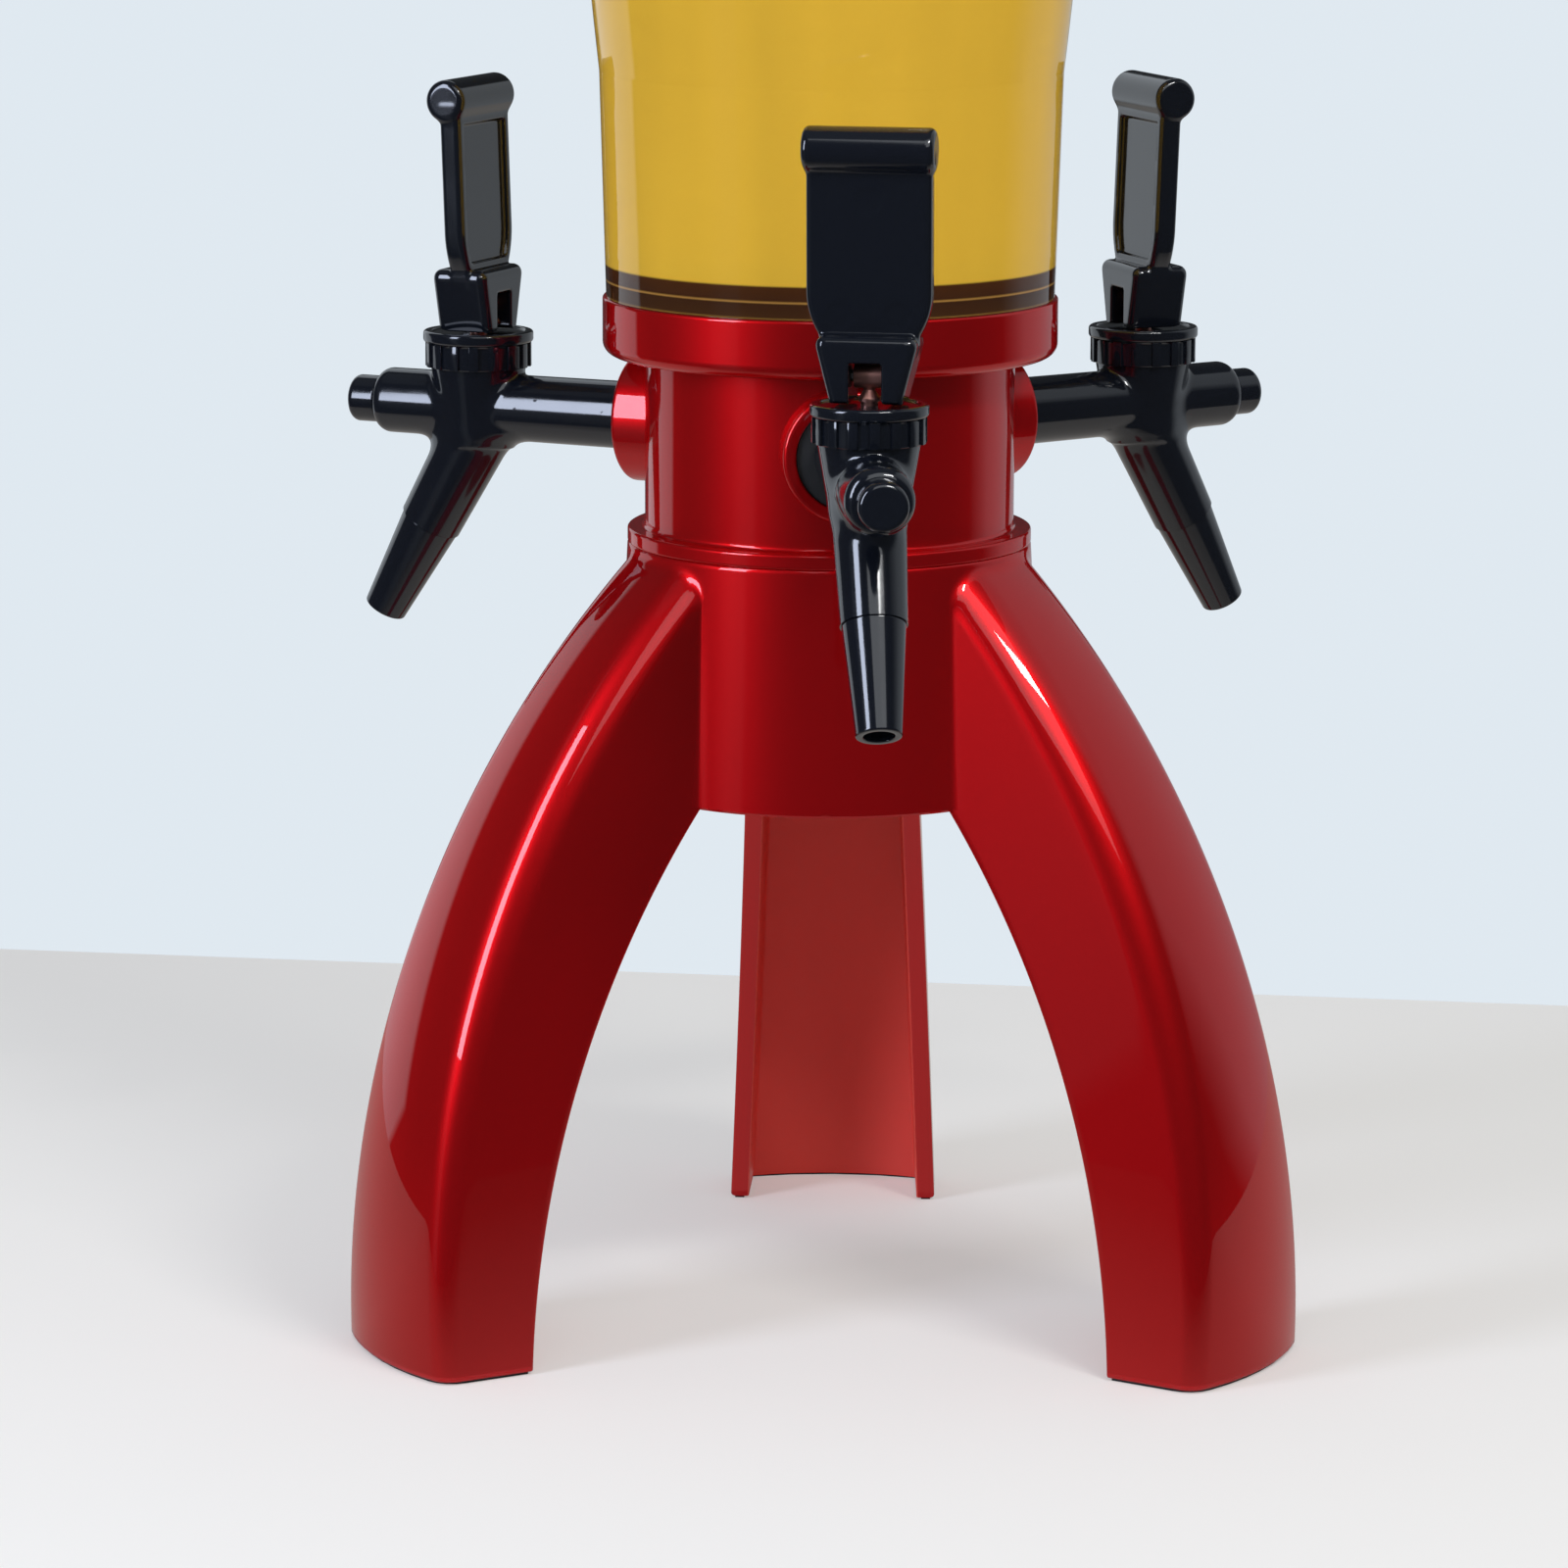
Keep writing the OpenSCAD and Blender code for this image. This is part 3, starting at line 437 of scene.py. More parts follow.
BEVEL, HUB_ROWS = 0.7, 88
rows = [hub_row(z) for z in np.linspace(HUB_Z + BEVEL, BASE_H - BEVEL, HUB_ROWS)]
rows.append(hub_row(BASE_H - BEVEL * 0.3, BEVEL * 0.3))
rows.append(hub_row(BASE_H, BEVEL))
hub_shell = grid(rows, closed=True)
DECK = BASE_H - HUB_WALL
inside = [(NECK_R, BASE_H), (NECK_R, BASE_H - NECK_H), (UNDERCUT_R, BASE_H - NECK_H), (UNDERCUT_R, DECK),
          (hub_r(DECK) - HUB_WALL, DECK), (HUB_FOOT - HUB_WALL, HUB_Z), (HUB_FOOT - 0.5, HUB_Z),
          (hub_r(HUB_Z + BEVEL), HUB_Z + BEVEL)]
rim = [(hub_r(BASE_H) - BEVEL, BASE_H), (NECK_R, BASE_H)]
inner_shell = turned(inside, 120)
rim_shell = turned(rim, 120)
print("hub outline points:", len(rows[0]))

# %% [markdown]
# Below the hub each leg is a channel with a wall. Its outline goes once round the
# outside, over the edge of the wall and back along the inside, and the edges are
# a little rounded, as on any moulding.

# %% Legs below the hub
EDGE, LEG_ROWS = 0.9, 96
# The hollow of a leg goes on behind the hub, up to this height above the hub's lower edge.
HOLLOW_UP = 56.0


def hollow_half(z, top):
    """Half the outline of the channel's inside, from the edge of the wall to the middle."""
    wall = LEG_WALL * CROWN_ARC / (crown_at(z) - CROWN_C[0])
    w = half_w(z) - SIDE_WALL
    deep = w - INNER_DRAFT
    axis = crown_at(z) - CROWN_R
    k = CROWN_R - wall
    r = INNER_CORNER
    bottom = axis + math.sqrt(k * k - deep * deep)
    start = math.sqrt(hub_r(z) ** 2 - w * w) if top else arch_at(z) + EDGE
    side = [(start + (bottom - r - start) * s, w - INNER_DRAFT * s) for s in np.linspace(0, 1, 9)]
    bend = [(bottom - r + r * math.sin(a), deep - r + r * math.cos(a))
            for a in np.linspace(0, math.pi / 2, 6)[1:]]
    floor = [(axis + math.sqrt(k * k - y * y), y) for y in np.linspace(deep - r, 0, 7)[1:]]
    return side + bend + floor


def leg_row(z, inset):
    """Closed outline of the channel's wall at the height z."""
    outer = leg_half(z, inset, arch_at(z) + EDGE)
    w = half_w(z) - inset
    edge = [(arch_at(z) + EDGE * (1 - math.sin(a)), w - EDGE * (1 - math.cos(a)))
            for a in np.linspace(0, math.pi / 2, 4)[1:]]
    w_in = half_w(z) - SIDE_WALL
    back = [(arch_at(z) + EDGE * (1 - math.cos(a)), w_in + EDGE * (1 - math.sin(a)))
            for a in np.linspace(0, math.pi / 2, 4)]
    half = outer + edge + back + hollow_half(z, False)[1:]
    mirror = [(x, -y) for x, y in reversed(half[1:-1])]
    return [(x, y, z) for x, y in half + mirror]


def leg_shell():
    """One leg: the channel below the hub, its foot, and the hollow's end above."""
    # Heights and insets: a rounded lower edge first, then the plain leg.
    levels = [(PAD, EDGE), (PAD + 0.15, 0.45), (PAD + 0.45, 0.15), (PAD + EDGE, 0.0)]
    levels += [(z, 0.0) for z in np.linspace(PAD + EDGE, HUB_Z + BEVEL, LEG_ROWS)[1:]]
    rows = [leg_row(z, inset) for z, inset in levels]
    channel = grid(rows, closed=True)
    sole = (rows[0], [tuple(reversed(range(len(rows[0]))))])
    tops = []
    for z in np.linspace(HUB_Z, HUB_Z + HOLLOW_UP, 20):
        h = hollow_half(z, True)
        tops.append([(x, y, z) for x, y in h + [(x, -y) for x, y in reversed(h[:-1])]])
    hollow = grid(tops)
    end = (tops[-1], [tuple(range(len(tops[-1])))])
    back = []
    for z in (HUB_Z, HUB_Z + HOLLOW_UP):
        r = hub_r(z)
        reach = math.asin((half_w(z) - SIDE_WALL) / r)
        back.append([(r * math.cos(a), r * math.sin(a), z) for a in np.linspace(-reach, reach, 9)])
    return join(channel, sole, hollow, end, grid(back))


legs = [placed(leg_shell(), spin(a), (0, 0, 0)) for a in LEGS.values()]
stand = mesh_object("stand", join(hub_shell, inner_shell, rim_shell, *legs), sharp=50)
print("stand points:", len(stand.data.vertices))
piece(stand, ["base_stand"], "tower", red)

# %% [markdown]
# Only the outside of the moulding is lacquered. Faces of the channel look towards
# the axis or towards the middle of their leg. They and the hub's inside get the
# bare plastic.

# %% Bare plastic on the inside
stand.data.materials.append(bare)
inner_faces = 0
for face in stand.data.polygons:
    x, y, z = (c / MM for c in face.center)
    angle = min(LEGS.values(), key=lambda a: -math.cos(math.radians(a) - math.atan2(y, x)))
    _, py, _ = np.array([x, y, z]) @ spin(angle)
    nx, ny, _ = np.array(face.normal) @ spin(angle)
    looks_in = nx < -0.05 or ny * py < -0.05 * abs(py)
    in_channel = looks_in and z < DECK and abs(py) < half_w(z) - 0.9 * SIDE_WALL
    in_hub = HUB_Z < z < DECK + 0.5 and math.hypot(x, y) < hub_r(z) - HUB_WALL / 2
    if in_channel or in_hub:
        face.material_index = 1
        inner_faces += 1
print("faces of bare plastic:", inner_faces)

# %% [markdown]
# ## The tap ring
#
# The ring is a turned shape: a flange that sits on the stand, the chamber above
# it and a thick collar for the barrel. Edges that a mould leaves sharp would look
# like paper, so each one gets a small round. Three bosses stand out of the
# chamber, each with a recess for a black washer.

# %% Tap ring
FLANGE_TOP, BODY_R, COLLAR_Z, COLLAR_R, COLLAR_TOP = 247.6, 57.0, 301.0, 70.0, 318.8
FLANGE_R, SOCKET_R, SOCKET_Z, CHAMBER_R = 62.4, 66.8, 304.5, 53.5
TAP_Z, BOSS_R, BOSS_END, RECESS_R, RECESS_AT, HOLE_R = 277.5, 20.1, 66.0, 16.1, 62.5, 8.2
profile = [(NECK_R, BASE_H), (FLANGE_R - 0.7, BASE_H)]
profile += arc(FLANGE_R - 0.6, BASE_H + 0.6, 0.6, -80, 0, 3)
profile += arc(FLANGE_R - 0.8, FLANGE_TOP - 0.8, 0.8, 0, 90, 4)
profile += arc(BODY_R + 1.2, FLANGE_TOP + 1.2, 1.2, 270, 180, 4)
profile += arc(BODY_R + 0.8, COLLAR_Z - 0.8, 0.8, 180, 90, 3)
profile += arc(COLLAR_R - 4, COLLAR_Z + 4, 4, -90, 0, 8)
profile += arc(COLLAR_R - 0.8, COLLAR_TOP - 0.8, 0.8, 0, 90, 4)
profile += [(SOCKET_R, COLLAR_TOP), (SOCKET_R, SOCKET_Z), (CHAMBER_R, SOCKET_Z)]
profile += [(CHAMBER_R, FLANGE_TOP), (ON_AXIS, FLANGE_TOP)]
ring_shells = [turned(profile, 180)]
boss = [(BOSS_R, 50.0), (BOSS_R, 60.0)] + arc(BOSS_R - 1.4, BOSS_END - 1.4, 1.4, 0, 90, 5)
boss += arc(RECESS_R + 0.5, BOSS_END - 0.5, 0.5, 90, 180, 3)
boss += [(RECESS_R, RECESS_AT), (HOLE_R, RECESS_AT)]
for angle in TAPS.values():
    ring_shells.append(placed(turned(boss, 72), spin(angle) @ lean(90), (0, 0, TAP_Z)))
ring = mesh_object("ring", join(*ring_shells), sharp=50)
piece(ring, ["tap_ring"], "tower", red)

# %% [markdown]
# ## Barrel and drink
#
# The barrel is blown or moulded from clear plastic: a short straight neck, then a
# long flare that eases to upright at the rim. One function gives its outer radius
# at any height, so that the wall and the drink inside it always fit.

# %% Barrel
STRAIGHT_TOP, BARREL_TOP, WALL = 387.8, 578.8, 3.0
BARREL_FOOT, FOOT_RING_R, STRAIGHT_R, FLARE_FROM_R, FLARE = 306.5, 66.6, 68.9, 70.9, math.radians(6.5)
FLARE_R = (BARREL_TOP - STRAIGHT_TOP) / math.sin(FLARE)
TOP_R = FLARE_FROM_R + FLARE_R * (1 - math.cos(FLARE))


def barrel_r(z):
    """Outer radius of the barrel above the collar."""
    if z < STRAIGHT_TOP:
        part = (z - COLLAR_TOP) / (STRAIGHT_TOP - COLLAR_TOP)
        return STRAIGHT_R + (FLARE_FROM_R - STRAIGHT_R) * part
    return TOP_R - FLARE_R + math.sqrt(FLARE_R ** 2 - (BARREL_TOP - z) ** 2)


heights = list(np.linspace(COLLAR_TOP, STRAIGHT_TOP, 8))
heights += list(np.linspace(STRAIGHT_TOP, BARREL_TOP - 6, 28))[1:]
profile = [(FOOT_RING_R - WALL, BARREL_FOOT), (FOOT_RING_R, BARREL_FOOT), (FOOT_RING_R, COLLAR_TOP)]
profile += [(barrel_r(z), z) for z in heights]
profile += arc(TOP_R + 0.5, BARREL_TOP - 5, 1.0, -90, 0, 4)
profile += arc(TOP_R + 0.5, BARREL_TOP - 1, 1.0, 0, 90, 4)
profile += [(TOP_R - WALL, BARREL_TOP)]
profile += [(barrel_r(z) - WALL, z) for z in reversed(heights[1:])]
profile += [(FOOT_RING_R - WALL, COLLAR_TOP - 6), (FOOT_RING_R - WALL, BARREL_FOOT)]
barrel = mesh_object("clear_barrel", turned(profile, 160), sharp=40)
piece(barrel, ["barrel"], "tower", clear)

# %% The drink in the barrel
# The drink reaches a little into the wall, so that no air shows between the two.
FILL_Z, OVERLAP = 545.0, 0.3
low_r = FOOT_RING_R - WALL + OVERLAP
fill = [(ON_AXIS, COLLAR_TOP - 10), (low_r, COLLAR_TOP - 10), (low_r, COLLAR_TOP - 6)]
fill += [(barrel_r(z) - WALL + OVERLAP, z) for z in np.linspace(COLLAR_TOP + 6, FILL_Z, 40)]
fill += [(ON_AXIS, FILL_Z)]
drink = mesh_object("drink", turned(fill, 128), sharp=40)
drink.data.materials.append(beer)
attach(drink, "tower")
print("drink up to", FILL_Z, "mm")

# %% [markdown]
# ## Pieces taken over from the CAD part
#
# Small turned pieces already have the right shape in the CAD part. A copy of the
# mesh is welded and shaded smooth, and where a bevel is given its edges are broken
# by it, because no real edge is perfectly sharp.

# %% Welded copies with broken edges
def break_edges(obj, width, steps=2):
    """Bevels every edge that is sharper than a turned facet."""
    cut = obj.modifiers.new("bevel", "BEVEL")
    cut.width = width * MM
    cut.segments = steps
    cut.limit_method = "ANGLE"
    cut.angle_limit = math.radians(28)


def settle(obj):
    """Turns an object's modifiers into a plain mesh."""
    graph = bpy.context.evaluated_depsgraph_get()
    mesh = bpy.data.meshes.new_from_object(obj.evaluated_get(graph))
    obj.modifiers.clear()
    obj.data = mesh


def cad_piece(node, name, body, material, bevel=0.0, steps=2):
    """Finished piece with the shape of a CAD node, welded, with bevelled edges where a bevel is given."""
    work = bmesh.new()
    work.from_mesh(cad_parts[node].data)
    bmesh.ops.remove_doubles(work, verts=work.verts, dist=2e-6)
    bmesh.ops.dissolve_limit(work, angle_limit=math.radians(0.5), verts=work.verts, edges=work.edges)
    work.verts.index_update()
    points = [tuple(v.co) for v in work.verts]
    faces = [tuple(v.index for v in f.verts) for f in work.faces]
    work.free()
    mesh = bpy.data.meshes.new(name)
    mesh.from_pydata(points, [], faces)
    obj = new_object(name, mesh)
    if bevel:
        break_edges(obj, bevel, steps)
        settle(obj)
    obj.data.shade_smooth()
    obj.data.set_sharp_from_angle(angle=math.radians(35))
    return piece(obj, [node], body, material)


for name in LEGS:
    cad_piece("foot_pad_" + name, "pad_" + name, "tower", rubber)
cad_piece("barrel_seal", "seal", "tower", rubber)
cad_piece("shank_nuts", "nuts", "tower", black, bevel=0.4)
cad_piece("lid", "cover", "lid", red, bevel=0.8, steps=3)
cad_piece("lid_knob", "knob", "lid", black, bevel=0.5)
cad_piece("lid_screw", "screw", "lid", steel, bevel=0.2)

# %% [markdown]
# ## The taps
#
# A tap is moulded in one piece: a shank, a valve chamber and a spout that flow
# together. Such a shape is easy to say with distances. Each part has a function
# that is negative inside, and a soft minimum of the three makes the fillets. The
# zero surface is then covered with quads: one point in every cell of a grid that
# the surface crosses, pushed onto the surface by a few Newton steps.

# %% Surface of a distance field
def surface_net(field, low, high, step):
    """Quads on the zero surface of a field, inside a box."""
    axes = [np.arange(a, b + step, step) for a, b in zip(low, high)]
    inside = field(*np.meshgrid(*axes, indexing="ij")) < 0
    n = [len(a) - 1 for a in axes]
    count = np.zeros(n, int)
    for i in (0, 1):
        for j in (0, 1):
            for k in (0, 1):
                count += inside[i:n[0] + i, j:n[1] + j, k:n[2] + k]
    crossed = (count > 0) & (count < 8)
    index = np.full(n, -1)
    index[crossed] = np.arange(crossed.sum())
    points = (np.argwhere(crossed) + 0.5) * step + np.asarray(low)
    h = 0.02
    for _ in range(5):
        x, y, z = points.T
        slope = np.stack([field(x + h, y, z) - field(x - h, y, z),
                          field(x, y + h, z) - field(x, y - h, z),
                          field(x, y, z + h) - field(x, y, z - h)], 1) / (2 * h)
        size = np.maximum((slope ** 2).sum(1, keepdims=True), 0.1)
        points -= np.clip(field(x, y, z)[:, None] * slope / size, -step / 2, step / 2)
    faces = []
    for axis in range(3):
        u, v = (axis + 1) % 3, (axis + 2) % 3
        first = np.take(inside, range(n[axis]), axis)
        second = np.take(inside, range(1, n[axis] + 1), axis)
        edges = np.argwhere(first != second)
        edges = edges[(edges[:, u] > 0) & (edges[:, v] > 0) & (edges[:, u] < n[u]) & (edges[:, v] < n[v])]
        corners = []
        for du, dv in ((-1, -1), (0, -1), (0, 0), (-1, 0)):
            cell = edges.copy()
            cell[:, u] += du
            cell[:, v] += dv
            corners.append(index[tuple(cell.T)])
        quads = np.stack(corners, 1)
        outward = first[tuple(edges.T)]
        faces += [tuple(q) if o else tuple(q[::-1]) for q, o in zip(quads.tolist(), outward)]
    return [tuple(p) for p in points], faces


# %% Field of one tap, with X outward along the shank and Z up
VALVE, SEAT, TILT = 122.4, -9.0, 30.0
SPOUT_LEN, NOZZLE_LEN = 33.6, 33.9
SHANK_R, SHANK_END, CHAMBER_LOW_R, CHAMBER_FOOT, SPOUT_R, SPOUT_START = 10.6, 157.0, 10.8, -12.0, 11.2, -6.0
SPOUT_AT = np.array([VALVE + 0.6, 0, SEAT])
ALONG = np.array([math.sin(math.radians(TILT)), 0, -math.cos(math.radians(TILT))])


def soft_min(a, b, k):
    """The smaller of two fields, with a rounded change-over of the width k."""
    h = np.maximum(k - np.abs(a - b), 0) / k
    return np.minimum(a, b) - h * h * k / 4


def block(r, *sides):
    """Field of a block with edges of the radius r, from the fields of its sides."""
    deepest = sides[0] + r
    outside = np.maximum(sides[0] + r, 0) ** 2
    for side in sides[1:]:
        deepest = np.maximum(deepest, side + r)
        outside = outside + np.maximum(side + r, 0) ** 2
    return np.sqrt(outside) + np.minimum(deepest, 0) - r


def tap_field(x, y, z):
    """Shank, chamber and spout; the fillet under the shank is wider than the one above it."""
    shank = block(4.0, np.sqrt(y * y + z * z) - (SHANK_R - 0.3 * (x - 65) / 90), x - SHANK_END)
    chamber = np.sqrt((x - VALVE) ** 2 + y * y) - (CHAMBER_LOW_R + 4.2 * (z - CHAMBER_FOOT) / 24.3)
    chamber = np.maximum(chamber, CHAMBER_FOOT - z)
    dx, dz = x - SPOUT_AT[0], z - SPOUT_AT[2]
    t = dx * ALONG[0] + dz * ALONG[2]
    off = np.sqrt((dx - t * ALONG[0]) ** 2 + y * y + (dz - t * ALONG[2]) ** 2)
    spout = np.maximum(off - (SPOUT_R - 1.3 * (t - SPOUT_START) / 39.6), SPOUT_START - t)
    low = np.clip((-2 - z) / 8, 0, 1)
    return soft_min(soft_min(chamber, spout, 1.2), shank, 2.6 + 4.4 * low * low * (3 - 2 * low))


tap_shell = surface_net(tap_field, (62, -19, -45), (160, 19, 16), 0.7)
print("tap surface:", len(tap_shell[0]), "points")

# %% [markdown]
# The grid ends at a box, so the spout is cut where the nozzle begins and the cut
# is closed with a flat face. The nozzle, the plug in the shank's end and the
# bonnet are turned shapes in the same frame. The spring of the valve keeps its
# upper end under the bonnet. In the real tap it is squeezed when the stem lifts;
# here it is a copy of the CAD part with a mesh of its own.

# %% Tap bodies, nozzles and plugs
def cut_below(obj, point, normal):
    """Removes what lies beyond a plane and closes the cut."""
    work = bmesh.new()
    work.from_mesh(obj.data)
    everything = work.verts[:] + work.edges[:] + work.faces[:]
    cut = bmesh.ops.bisect_plane(work, geom=everything, plane_co=point, plane_no=normal, clear_outer=True)
    edges = [e for e in cut["geom_cut"] if isinstance(e, bmesh.types.BMEdge)]
    bmesh.ops.contextual_create(work, geom=edges)
    work.to_mesh(obj.data)
    work.free()
    obj.data.set_sharp_from_angle(angle=math.radians(40))


NOZZLE_BORE, NOZZLE_TOP_R, NOZZLE_TIP_R, SLEEVE_R, SLEEVE = 4.6, 9.4, 6.85, 9.0, -4.0
nozzle = [(NOZZLE_BORE, SLEEVE), (SLEEVE_R, SLEEVE), (SLEEVE_R, -0.3)]
nozzle += arc(NOZZLE_TOP_R - 0.3, 0.3, 0.3, -90, 0, 3)
nozzle += arc(NOZZLE_TIP_R - 0.5, NOZZLE_LEN - 0.5, 0.5, 0, 90, 4)
nozzle += arc(NOZZLE_BORE + 0.3, NOZZLE_LEN - 0.3, 0.3, 90, 180, 3) + [(NOZZLE_BORE, SLEEVE)]
PLUG_R, PLUG_END = 7.4, 166.5
plug = [(5.0, 150.0), (PLUG_R - 0.3, SHANK_END)] + arc(PLUG_R - 0.3, SHANK_END + 0.3, 0.3, -90, 0, 2)
plug += arc(PLUG_R - 2, PLUG_END - 2, 2.0, 0, 90, 7) + [(ON_AXIS, PLUG_END)]
for name, angle in TAPS.items():
    turn, shift = spin(angle), np.array([0, 0, TAP_Z])
    body = mesh_object("tap_" + name, placed(tap_shell, turn, shift), sharp=60, weld=0)
    seam = SPOUT_AT + SPOUT_LEN * ALONG
    cut_below(body, Vector((turn @ seam + shift) * MM), Vector(turn @ ALONG))
    piece(body, ["tap_body_" + name], "tower", black)
    tip = placed(placed(turned(nozzle, 64), lean(180 - TILT), seam), turn, shift)
    piece(mesh_object("tip_" + name, tip, sharp=40), ["nozzle_" + name], "tower", black)
    stop = placed(turned(plug, 64), turn @ lean(90), shift)
    piece(mesh_object("stopper_" + name, stop, sharp=40), ["end_plug_" + name], "tower", black)
    cad_piece("gasket_" + name, "washer_" + name, "tower", rubber, bevel=0.2)
    cad_piece("stem_seal_" + name, "gland_" + name, "tower", rubber)
    coil = cad_piece("valve_spring_" + name, "coil_" + name, "tower", steel)
    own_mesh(coil)

# %% [markdown]
# ## Bonnets with grip ribs
#
# The bonnet is a screw cap. Its grip ribs repeat round the skirt, so they are the
# work of a Geometry Nodes tree: points on a circle, one rib set on each point and
# turned to face outward, then made real and joined with the cap.

# %% Rib tree
def rib_tree():
    """Node group that sets ribs round a cap; its inputs have names."""
    group = bpy.data.node_groups.new("grip_ribs", "GeometryNodeTree")
    interface = group.interface
    sockets = {}
    for label, kind in (("Cap", "Geometry"), ("Count", "Int"), ("Radius", "Float"), ("Width", "Float"),
                        ("Depth", "Float"), ("Height", "Float"), ("Middle", "Float"),
                        ("Material", "Material")):
        sockets[label] = interface.new_socket(label, in_out="INPUT", socket_type="NodeSocket" + kind)
    interface.new_socket("Result", in_out="OUTPUT", socket_type="NodeSocketGeometry")
    add = group.nodes.new
    link = group.links.new
    source = add("NodeGroupInput")
    target = add("NodeGroupOutput")
    circle = add("GeometryNodeMeshCircle")
    link(source.outputs["Count"], circle.inputs["Vertices"])
    link(source.outputs["Radius"], circle.inputs["Radius"])
    size = add("ShaderNodeCombineXYZ")
    link(source.outputs["Depth"], size.inputs["X"])
    link(source.outputs["Width"], size.inputs["Y"])
    link(source.outputs["Height"], size.inputs["Z"])
    rib = add("GeometryNodeMeshCube")
    link(size.outputs["Vector"], rib.inputs["Size"])
    place = add("GeometryNodeInputPosition")
    face_out = add("FunctionNodeAlignRotationToVector")
    face_out.axis = "X"
    link(place.outputs["Position"], face_out.inputs["Vector"])
    stand_on = add("GeometryNodeInstanceOnPoints")
    link(circle.outputs["Mesh"], stand_on.inputs["Points"])
    link(rib.outputs["Mesh"], stand_on.inputs["Instance"])
    link(face_out.outputs["Rotation"], stand_on.inputs["Rotation"])
    real = add("GeometryNodeRealizeInstances")
    link(stand_on.outputs["Instances"], real.inputs["Geometry"])
    lift = add("ShaderNodeCombineXYZ")
    link(source.outputs["Middle"], lift.inputs["Z"])
    move = add("GeometryNodeTransform")
    link(real.outputs["Geometry"], move.inputs["Geometry"])
    link(lift.outputs["Vector"], move.inputs["Translation"])
    both = add("GeometryNodeJoinGeometry")
    link(move.outputs["Geometry"], both.inputs["Geometry"])
    link(source.outputs["Cap"], both.inputs["Geometry"])
    paint = add("GeometryNodeSetMaterial")
    link(both.outputs["Geometry"], paint.inputs["Geometry"])
    link(source.outputs["Material"], paint.inputs["Material"])
    link(paint.outputs["Geometry"], target.inputs["Result"])
    return group, sockets


ribs, rib_sockets = rib_tree()
SKIRT_R, CAP_RIM_R, CAP_FOOT, CAP_TOP, DISH_Z, STEM_HOLE_R = 16.0, 17.4, 12.5, 24.1, 23.5, 2.55
RIBS = {"Count": 16, "Radius": 0.0159, "Width": 0.003, "Depth": 0.0016, "Height": 0.0076,
        "Middle": 0.0165, "Material": black}
cap = [(13.4, CAP_FOOT), (SKIRT_R - 0.3, CAP_FOOT), (SKIRT_R, CAP_FOOT + 0.3), (SKIRT_R, 19.8)]
cap += arc(CAP_RIM_R - 1.2, 21.5, 1.2, -80, 0, 4) + arc(CAP_RIM_R - 1, CAP_TOP - 1, 1.0, 0, 90, 5)
cap += arc(15.2, CAP_TOP - 0.4, 0.4, 90, 180, 3)
cap += [(14.6, DISH_Z), (STEM_HOLE_R, DISH_Z), (STEM_HOLE_R, CAP_FOOT)]
for name, angle in TAPS.items():
    obj = mesh_object("bonnet_cap_" + name, turned(cap, 96), sharp=40)
    grow = obj.modifiers.new("ribs", "NODES")
    grow.node_group = ribs
    for label, value in RIBS.items():
        grow[rib_sockets[label].identifier] = value
    break_edges(obj, 0.35)
    settle(obj)
    turn = spin(angle)
    for v in obj.data.vertices:
        v.co = turn @ (np.array(v.co) + (VALVE * MM, 0, 0)) + (0, 0, TAP_Z * MM)
    obj.data.set_sharp_from_angle(angle=math.radians(40))
    piece(obj, ["bonnet_" + name], "tower", black)

# %% [markdown]
# ## Stems and levers
#
# The stem is turned from metal, with a waist and an eye for the pin. The lever
# rolls on its fork when it is tipped and pulls the stem up. It is a moulding with
# soft edges all over, so it is a field like the tap: a fork with a slot, a paddle
# with a panel in its inner face and three faint round marks of the mould's pins
# on its outer face, and a roll along the top.

# %% Field of one lever, seen from its pin, with X outward and Z up
PIN_Z, FORK_UP, FORK_FOOT, ROLL_UP = 32.1, 12.1, -7.65, 65.2
FORK_REACH, SLOT_HALF, PADDLE_HALF, PADDLE_T = 9.25, 4.8, 14.9, 3.5
ROLL_R, ROLL_HALF, PIN_R, PIN_HALF = 6.6, 19.3, 1.8, 9.1
# The paddle leans by this angle about a point in the fork.
PADDLE_LEAN, LEAN_X, LEAN_Z = math.radians(2), -0.8, 8.6
MARK_R, MARK_DEPTH = 3.7, 0.3
MARKS = [(-8.5, FORK_UP + 5.5), (8.5, FORK_UP + 5.5), (0.0, FORK_UP + 38.5)]


def paddle_half(z):
    """Half the paddle's width: it draws in towards the fork with a curve."""
    up = np.clip((z - FORK_UP) / 12, 0, 1)
    below = PADDLE_HALF - 0.245 * (FORK_UP - z)
    return np.where(z < FORK_UP, below, PADDLE_HALF + 3.4 * (1 - (1 - up) ** 2))


